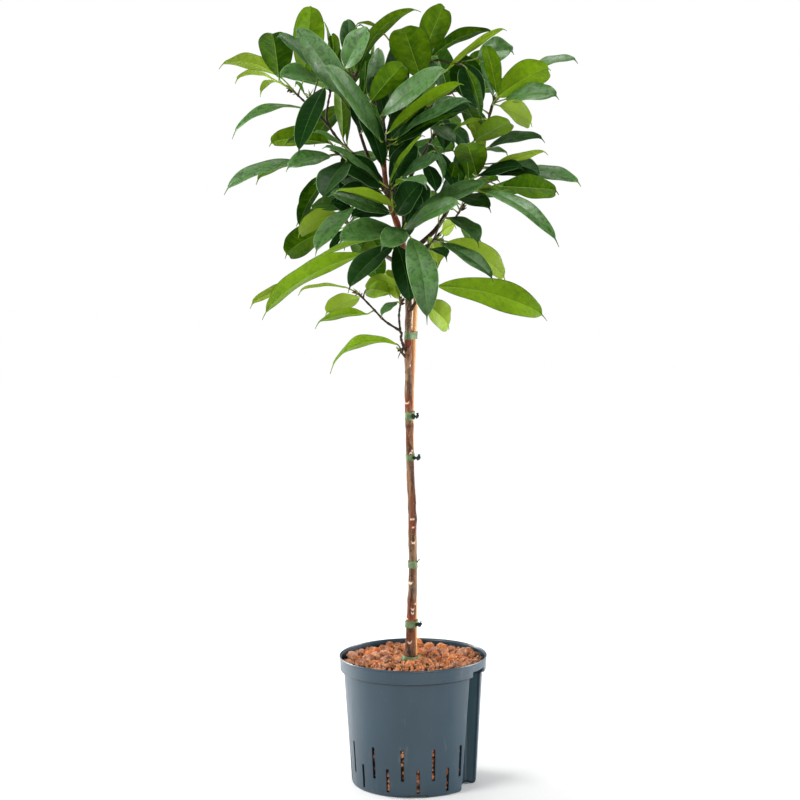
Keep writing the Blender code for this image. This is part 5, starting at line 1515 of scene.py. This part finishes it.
@dataclass
class Leaf:
    """One leaf: a petiole and a long blade, folded along its midrib, with a short drip tip.

    Attributes:
        root: Point on the twig that the petiole grows from.
        base, tip: Start and end of the blade on the elevation, not yet deepened.
        width: Greatest width in millimetres.
        face: Degrees that the upper side is turned away from the eye.
        arch: Bow towards the upper side in millimetres.
        tone, youth: How lit or shaded it is painted, and how fresh and yellow it is.
        rng: Source of chance for its small bends.
    """

    root: Array
    base: Array
    tip: Array
    width: float
    face: float
    arch: float
    tone: float
    youth: float
    rng: Chance
    fold: float = 0.24
    thick: float = 0.0009
    body: float = 0.945
    # painted light: the heart is where the crown is painted darkest; sun and glow are the directions that
    # paint the upper and under sides lighter
    heart: Reading = (0.0, 0.02, 0.90)
    sun: Reading = (-0.45, -0.35, 0.82)
    glow: Reading = (-0.30, -0.55, -0.78)
    petiole_r: float = 0.0011

    def midrib(self, t: Array) -> tuple[Array, Array]:
        """Middle line of the blade and the way its upper side faces.

        The chord, bowed by four t times one less t, its last eighth drooping with the square of
        the distance, and then deepened.

        Args:
            t: Shares of the blade's length.

        Returns:
            The points, and the blade's first normal.
        """
        axis = unit(self.tip - self.base)
        toward = unit(np.array(VIEW.eye) - (self.base + self.tip) / 2)
        facing = unit(toward - axis * toward.dot(axis))
        raised = np.cross(axis, facing)
        if raised[2] + 0.3 * raised[0] < 0:
            raised = -raised
        a = math.radians(self.face)
        normal = math.cos(a) * facing + math.sin(a) * raised
        t = t[:, None]
        bow = 4 * t * (1 - t) * MM
        line = self.base + (self.tip - self.base) * t + bow * normal * self.arch
        line[:, 2:] -= 0.007 * (np.maximum(t - 0.88, 0) / 0.12) ** 2
        return VIEW.deepen(line), normal

    def half_width(self, t: Array) -> Array:
        """Half width: a power of t times a power of one less t, with a narrow drip beyond.

        A leaf seen from below ends round, one seen from above or the side in a point.
        """
        b = np.clip(t / self.body, 0, 1)
        rise, fall = 0.72, 0.5 if self.face > 125 else 0.62
        top = rise / (rise + fall)
        wide = b**rise * (1 - b) ** fall / (top**rise * (1 - top) ** fall) * self.width * 0.5 * MM
        drip = 0.0014 * (1 - 0.7 * smoothstep(0.93, 1.0, t))
        return (wide**3 + drip**3) ** (1 / 3)

    def blade(self, shape: Shape) -> None:
        """Add the blade: rings that go across its upper side and back across its under side."""
        t = np.concatenate([np.linspace(0, 0.9, 40, endpoint=False), np.linspace(0.9, 1, 13)])
        line, normal = self.midrib(t)
        length = float(np.linalg.norm(np.diff(line, axis=0), axis=1).sum())
        half = self.half_width(t)[:, None]
        steps = np.array([0.0, 0.045, 0.13, 0.30, 0.50, 0.72, 0.90, 0.965, 1.0])
        over = np.concatenate([-steps[::-1], steps[1:]])
        x = np.concatenate([over, over[-2:0:-1]])[None, :]
        upper = np.concatenate([np.ones(len(over)), -np.ones(len(over) - 2)])[None, :]
        t = t[:, None]
        off = np.abs(x) * half
        pairs = length / 0.0125
        q = pairs * (t - off / (length * 1.5))
        rise, turn = self.rng.uniform(0.9, 1.7), self.rng.normal(0, 0.10)
        phase = self.rng.uniform(0, 6.28, 3)
        lift = self.fold * rise * half * np.sqrt(x**2 + 0.004)
        lift -= 0.13 * half * np.abs(x) ** 3
        wave = np.where(x > 0, np.sin(2 * np.pi * 1.7 * t + phase[0]),
                        np.sin(2 * np.pi * 2.1 * t + phase[1]))
        lift += 0.075 * half * wave * np.abs(x) ** 2.2
        lift += 0.00020 * np.cos(2 * np.pi * q) * np.sin(np.pi * np.abs(x)) * smoothstep(1.0, 0.85, t)
        rim = 1 - np.abs(x) ** 4
        depth = np.where(upper > 0, self.thick / 2 - 0.00028 * bell(off, 0.0007),
                         -self.thick / 2 - (0.0012 - 0.0009 * t) * bell(off, 0.0011))
        lift += depth * rim
        ahead = unit(np.gradient(line, axis=0))
        n = unit(normal - ahead * (ahead @ normal)[:, None])
        s = np.cross(ahead, n)
        twist = turn * t + 0.04 * np.sin(5 * t + phase[2])
        n, s = n * np.cos(twist) + s * np.sin(twist), s * np.cos(twist) - n * np.sin(twist)
        rings = (line[:, None, :] + s[:, None, :] * (x * half)[..., None] + n[:, None, :] * lift[..., None])
        finish = np.where(np.arange(x.shape[1]) < len(over) - 1, LeafPart.UPPER.value, LeafPart.UNDER.value)
        ones = np.ones_like(q)
        shape.loft(rings, finish, leaf_at=np.stack([t * ones, x * ones, q], -1),
                   leaf_tone=np.stack([self.shade(rings, upper > 0), self.youth * ones,
                                       off * 1000 * ones], -1))

    def shade(self, rings: Array, upper: Array) -> Array:
        """Painted lightness of each point: the leaf's tone, more where its side turns to the light.

        It falls with a smooth step towards the heart of the crown, where leaves are painted in shade.

        Args:
            rings: Points of the blade.
            upper: Which columns lie on its upper side.

        Returns:
            A number for each point.
        """
        across = np.roll(rings, -1, 1) - np.roll(rings, 1, 1)
        normal = unit(np.cross(across, np.gradient(rings, axis=0)))
        sunny = np.where(upper, normal @ unit(np.array(self.sun)), normal @ unit(np.array(self.glow)))
        for side in (upper[0], ~upper[0]):
            sunny[:, side] -= np.median(sunny[8:36, side])
        deep = smoothstep(0.20, 0.05, np.linalg.norm(rings - np.array(self.heart), axis=-1))
        return self.tone + 0.65 * np.clip(sunny, -0.7, 0.7) - 0.38 * deep

    def petiole(self, shape: Shape) -> None:
        """Add the petiole: a cubic that leaves the twig towards the blade and runs into its rib."""
        line, _ = self.midrib(np.array([0.0, 0.03, 0.06]))
        gap = line[0] - self.root
        dist = max(float(np.linalg.norm(gap)), 0.002)
        way = unit(line[2] - line[0])
        s = np.linspace(0, 1, 14)[:, None]
        start = unit(unit(gap) + (0, 0, 0.15)) * dist * 1.1
        curve = ((2 * s**3 - 3 * s**2 + 1) * self.root + (s**3 - 2 * s**2 + s) * start
                 + (3 * s**2 - 2 * s**3) * line[0] + (s**3 - s**2) * way * dist * 0.9)
        path = np.vstack([curve, line[1]])
        share = np.append(s[:, 0], 1.0)
        radius = self.petiole_r * (0.95 + 0.55 * bell(share, 0.18) + 0.25 * bell(share - 1, 0.12))
        radius[-1] *= 0.6
        lime = self.rng.uniform(-0.40, 0.35) + 0.4 * self.youth
        rings = rings_along(path, radius, 8)
        at = np.broadcast_to((share * 0.7 + lime)[:, None, None] * (1, 0, 0), rings.shape)
        shape.loft(rings, LeafPart.PETIOLE.value, leaf_at=at)


@dataclass
class Spray:
    """A shoot: its twigs, leaves, buds and stipules as one piece.

    Attributes:
        name: Name of the CAD node that it stands for.
        start_r: Radius at the branch's end.
        twigs, leaves: Lines of readings, and rows of base, tip, width, face, arch and tone.
        number: Its place in the order, which seeds its chance.
    """

    name: str
    start_r: float
    twigs: list
    leaves: list
    number: int
    tip_r: float = 0.0013
    side_r: float = 0.0016

    def lines(self, stem: Stem) -> list[Array]:
        """Lines of the twigs, the first one grown out of the nearest free branch end."""
        lines = [VIEW.lines(twig) for twig in self.twigs]
        end, way = min(stem.seats(), key=lambda s: float(np.linalg.norm(s[0] - lines[0][0])))
        lines[0][0] = end + way * 0.0003
        lines[0] = np.vstack([end - way * 0.002, lines[0]])
        return lines

    @staticmethod
    def root(point: Array, lines: list[Array]) -> Array:
        """Point on the nearest twig, a little back from the one nearest to a leaf's base.

        Args:
            point: Start of the blade.
            lines: Lines of the twigs.

        Returns:
            The point that the petiole grows from.
        """
        best = (1e9, lines[0], 0, 0.0)
        for line in lines:
            legs = np.diff(line, axis=0)
            share = np.einsum("ij,ij->i", point - line[:-1], legs) / np.einsum("ij,ij->i", legs, legs)
            share = np.clip(share, 0, 1)
            gaps = np.linalg.norm(line[:-1] + legs * share[:, None] - point, axis=1)
            k = int(np.argmin(gaps))
            best = min(best, (float(gaps[k]), line, k, float(share[k])), key=lambda b: b[0])
        gap, line, k, share = best
        walked = np.concatenate([[0], np.cumsum(np.linalg.norm(np.diff(line, axis=0), axis=1))])
        at = walked[k] + share * (walked[k + 1] - walked[k]) - min(0.35 * gap, 0.010)
        at = float(np.clip(at, min(0.003, 0.4 * walked[-1]), walked[-1] - 0.0004))
        return np.array([np.interp(at, walked, line[:, c]) for c in range(3)])

    def scale(self, shape: Shape, at: Array, way: Array, length: float, width: float,
              shade: float, rng: Chance) -> None:
        """Add a papery scale: flat rings along a short curling line, pointed at its end.

        Args:
            shape: Shape that takes it.
            at: Where it starts.
            way: Direction that it starts in.
            length: Its length.
            width: Half its width.
            shade: Share of the way from its near to its far colour.
            rng: Source of chance for its curl.
        """
        s = np.linspace(0, 1, 9)
        curl = unit(np.cross(way, rng.normal(size=3)))
        path = at + way * (s * length)[:, None] + curl * (0.30 * length * s**2)[:, None]
        radius = width * np.sqrt(np.clip(1.02 - s**2, 0, 1)) * (0.45 + 0.55 * np.sin(2.4 * s + 0.5))
        rings = rings_along(path, np.maximum(radius, 0.00012), 8, 0.22, rng.normal(0, 0.12))
        shape.loft(rings, LeafPart.STIPULE.value, leaf_at=np.array([shade, 0.0, 0.0]))

    def wood(self, shape: Shape, line: Array, first: float, rng: Chance) -> None:
        """Add a twig with beads at its nodes, and the bud and scales at its end.

        Args:
            shape: Shape that takes them.
            line: Line of the twig.
            first: Radius at its start.
            rng: Source of chance.
        """
        length = float(np.linalg.norm(np.diff(line, axis=0), axis=1).sum())
        count = max(12, int(length / 0.0016))
        path = spline(line, count)
        s = np.linspace(0, 1, count)
        beads = np.sin(np.pi * s * max(2.0, length / 0.009) + rng.uniform(0, 3)) ** 8
        radius = (first + (self.tip_r - first) * s) * (1 + 0.36 * beads + rng.normal(0, 0.04, count))
        rings = rings_along(path, radius, 10)
        tone = np.clip(0.15 + 0.5 * s + rng.normal(0, 0.06), 0, 1)
        at = np.broadcast_to(tone[:, None, None] * (1, 0, 0), rings.shape)
        shape.loft(rings, LeafPart.TWIG.value, leaf_at=at)
        way = unit(path[-1] - path[-3])
        bud = path[-1] - way * 0.001 + way * (np.linspace(0, 1, 9) * 0.011)[:, None]
        swell = np.array([1.0, 1.2, 1.3, 1.25, 1.05, 0.8, 0.5, 0.25, 0.08]) * 0.0012
        shape.loft(rings_along(bud, swell, 8), LeafPart.PETIOLE.value, leaf_at=np.array([0.55, 0, 0]))
        for k in range(6):
            lean = unit(way * 1.1 + rng.normal(0, 0.6, 3))
            self.scale(shape, path[-1] - way * 0.0012 * k, lean, rng.uniform(0.006, 0.013),
                       rng.uniform(0.0013, 0.0024), rng.uniform(0.2, 1), rng)
        for k in np.arange(6, count - 4, 9):
            if rng.random() < 0.6:
                lean = unit(unit(path[k + 1] - path[k - 1]) * 0.8 + rng.normal(0, 0.6, 3))
                self.scale(shape, path[k], lean, rng.uniform(0.003, 0.007), rng.uniform(0.0008, 0.0015),
                           rng.uniform(0, 1), rng)

    @staticmethod
    def leaf(shape: Shape, lines: list[Array], blade: list, light: tuple[float, float],
             seed: list[int]) -> None:
        """Add one leaf with its petiole.

        Args:
            shape: Shape that takes it.
            lines: Lines of the wood that it may grow from.
            blade: Base, tip, width, face and arch.
            light: Painted lightness, lit or shaded, and freshness.
            seed: Seed of its small bends.
        """
        start, end = VIEW.seen(*blade[:3]), VIEW.seen(*blade[3:6])
        root = Spray.root(VIEW.deepen(start), lines)
        leaf = Leaf(root, start, end, *blade[6:], *light, np.random.default_rng(seed))
        leaf.petiole(shape)
        leaf.blade(shape)

    def build(self, stem: Stem, materials: list[Finish]) -> Piece:
        """Grow the twigs, then every leaf from its place on them.

        Args:
            stem: Trunk that the shoot grows on.
            materials: Finishes in the order of LeafPart.

        Returns:
            The finished piece.
        """
        rng = np.random.default_rng(1000 + self.number)
        shape = Shape(("leaf_at", "leaf_tone"))
        lines = self.lines(stem)
        for k, line in enumerate(lines):
            self.wood(shape, line, self.side_r if k else self.start_r, rng)
        for k, (*blade, tone) in enumerate(self.leaves):
            light, youth = tone.value
            self.leaf(shape, lines, blade, (light + rng.normal(0, 0.07), youth), [self.number, k])
        return place(shape.build(f"{self.name}_leaves", materials), "leaf", self.name)


@dataclass
class InnerLeaves:
    """Leaves in the heart of the crown, which grow straight from the branches."""

    rows: list
    number: int = 90

    def build(self, stem: Stem, materials: list[Finish]) -> Piece:
        """Grow each leaf from the nearest branch, or from the leader in the crown.

        Args:
            stem: Trunk and branches that they grow on.
            materials: Finishes in the order of LeafPart.

        Returns:
            The finished piece.
        """
        shape = Shape(("leaf_at", "leaf_tone"))
        lines = [VIEW.lines(branch) for branch in stem.branches] + [stem.axis()[0][-7:]]
        for k, (*blade, light, youth) in enumerate(self.rows):
            Spray.leaf(shape, lines, blade, (light, youth), [self.number, k])
        return place(shape.build("crown_inner_leaves", materials), "leaf")


@dataclass
class Studio:
    """Camera, pale floor with a bright wall round it, and soft lights.

    Attributes:
        lights: For each soft light its place, the point it faces, its size and its power.
    """

    floor_r: float = 6.0
    floor_sides: int = 96
    wall_h: float = 2.6
    white: float = 0.80
    wall_glow: float = 1.0
    world: float = 0.13
    lights: tuple = (((-2.1, -1.7, 2.5), (0, 0, 0.75), 1.4, 80.0),
                     ((2.65, 0.45, 0.7), (0, 0, 0.4), 1.1, 100.0),
                     ((1.0, -3.2, 0.8), (0, 0, 0.3), 0.8, 26.0),
                     ((-0.2, 0.4, 3.2), (0, 0, 0.8), 1.6, 45.0),
                     ((-2.35, 1.2, 0.75), (0, 0, 0.3), 1.3, 120.0))

    def ground(self) -> None:
        """Lay a round floor and stand a glowing wall on its edge."""
        count, turn = self.floor_sides, turns(self.floor_sides)
        edge = np.stack([self.floor_r * np.cos(turn), self.floor_r * np.sin(turn), 0 * turn], 1)
        plain, glow = Graph("studio_white", 0.9, 0.1), Graph("studio_wall", 1.0, 0.0)
        for graph in (plain, glow):
            graph.shader.inputs["Emission Color"].default_value = (1.0, 1.0, 1.0, 1.0)
        length = plain.add("ShaderNodeVectorMath", {0: plain.place}, operation="LENGTH")
        far = plain.span(length.outputs["Value"], 0.6, self.floor_r, 0.0, 0.9)
        plain.put(plain.shader.inputs["Emission Strength"], far)
        glow.shader.inputs["Emission Strength"].default_value = self.wall_glow
        k = np.arange(count)
        wall = np.stack([(k + 1) % count, k, k + count, (k + 1) % count + count], 1).tolist()
        for name, points, faces, finish in (
                ("studio_floor", edge, [list(range(count))], plain.finish((self.white,) * 3)),
                ("studio_wall", np.vstack([edge, edge + (0, 0, self.wall_h)]), wall,
                 glow.finish((0.0, 0.0, 0.0)))):
            mesh = bpy.data.meshes.new(name)
            mesh.from_pydata(points.tolist(), [], faces)
            mesh.materials.append(finish)
            stand(name, mesh)

    def build(self) -> None:
        """Set up floor, surrounding light, soft lights and camera."""
        self.ground()
        bpy.context.scene.view_settings.view_transform = "Standard"
        world = bpy.data.worlds.new("studio")
        world.use_nodes = True
        background = world.node_tree.nodes["Background"]
        background.inputs["Color"].default_value = (1.0, 1.0, 1.0, 1.0)
        background.inputs["Strength"].default_value = self.world
        bpy.context.scene.world = world
        for number, (at, facing, size, power) in enumerate(self.lights):
            lamp = bpy.data.lights.new(f"softbox_{number}", "AREA")
            lamp.size, lamp.energy = size, power
            out = unit(np.array(at) - np.array(facing))
            level = unit(np.cross((0, 0, 1), out))
            stand(lamp.name, lamp).matrix_world = self.turned(level, np.cross(out, level), out, at)
        self.camera()

    @staticmethod
    def turned(x: Array, y: Array, z: Array, at: Array) -> Matrix:
        """Matrix whose columns are three directions and a place."""
        rows = [(*map(float, row), float(a)) for row, a in zip(np.stack([x, y, z], 1), at)]
        return Matrix(rows + [(0.0, 0.0, 0.0, 1.0)])

    def camera(self) -> None:
        """Set the camera at the elevation's eye, looking along it with the same field of view."""
        lens = bpy.data.cameras.new("eye")
        lens.sensor_width = 36.0
        lens.lens = VIEW.focus / VIEW.width * lens.sensor_width
        lens.clip_end = 50.0
        ob = stand("eye", lens)
        right, up, ahead = VIEW.axes()
        ob.matrix_world = self.turned(right, up, -ahead, VIEW.eye)
        bpy.context.scene.camera = ob


def main() -> None:
    """Build every piece in order: studio, pot, clay, stem, stake, ties and the leafy shoots."""
    logging.basicConfig(level=logging.INFO, format="%(message)s")
    Studio().build()
    pot = CulturePot()
    pot.build(PlasticFinish().material())
    stem = Stem(TRUNK, BRANCHES, STAKE)
    foot = VIEW.seen(409.6, 652)
    ClayBed(pot).build(ClayFinish().material(), (float(foot[0]), 0.0))
    stem.bark(BarkFinish().material(), np.random.default_rng(5))
    stem.cane(CaneFinish().material())
    tape = TapeFinish("tie_tape", (0.075, 0.120, 0.050), (0.145, 0.210, 0.095))
    # the twisted ends take a near-black copy of the tape: painted shade in the twists
    shaded_knot = TapeFinish("tie_knot_shaded", (0.003, 0.010, 0.006), (0.012, 0.035, 0.020))
    Ties(stem).build(tape.material(), shaded_knot.material())
    finishes = [LEAF_FINISHES[part].material() for part in LeafPart]
    for number, (name, shoot) in enumerate(SPRAYS.items()):
        Spray(name, *shoot, number).build(stem, finishes)
    InnerLeaves(INNER).build(stem, finishes)


if __name__ == "__main__":
    main()
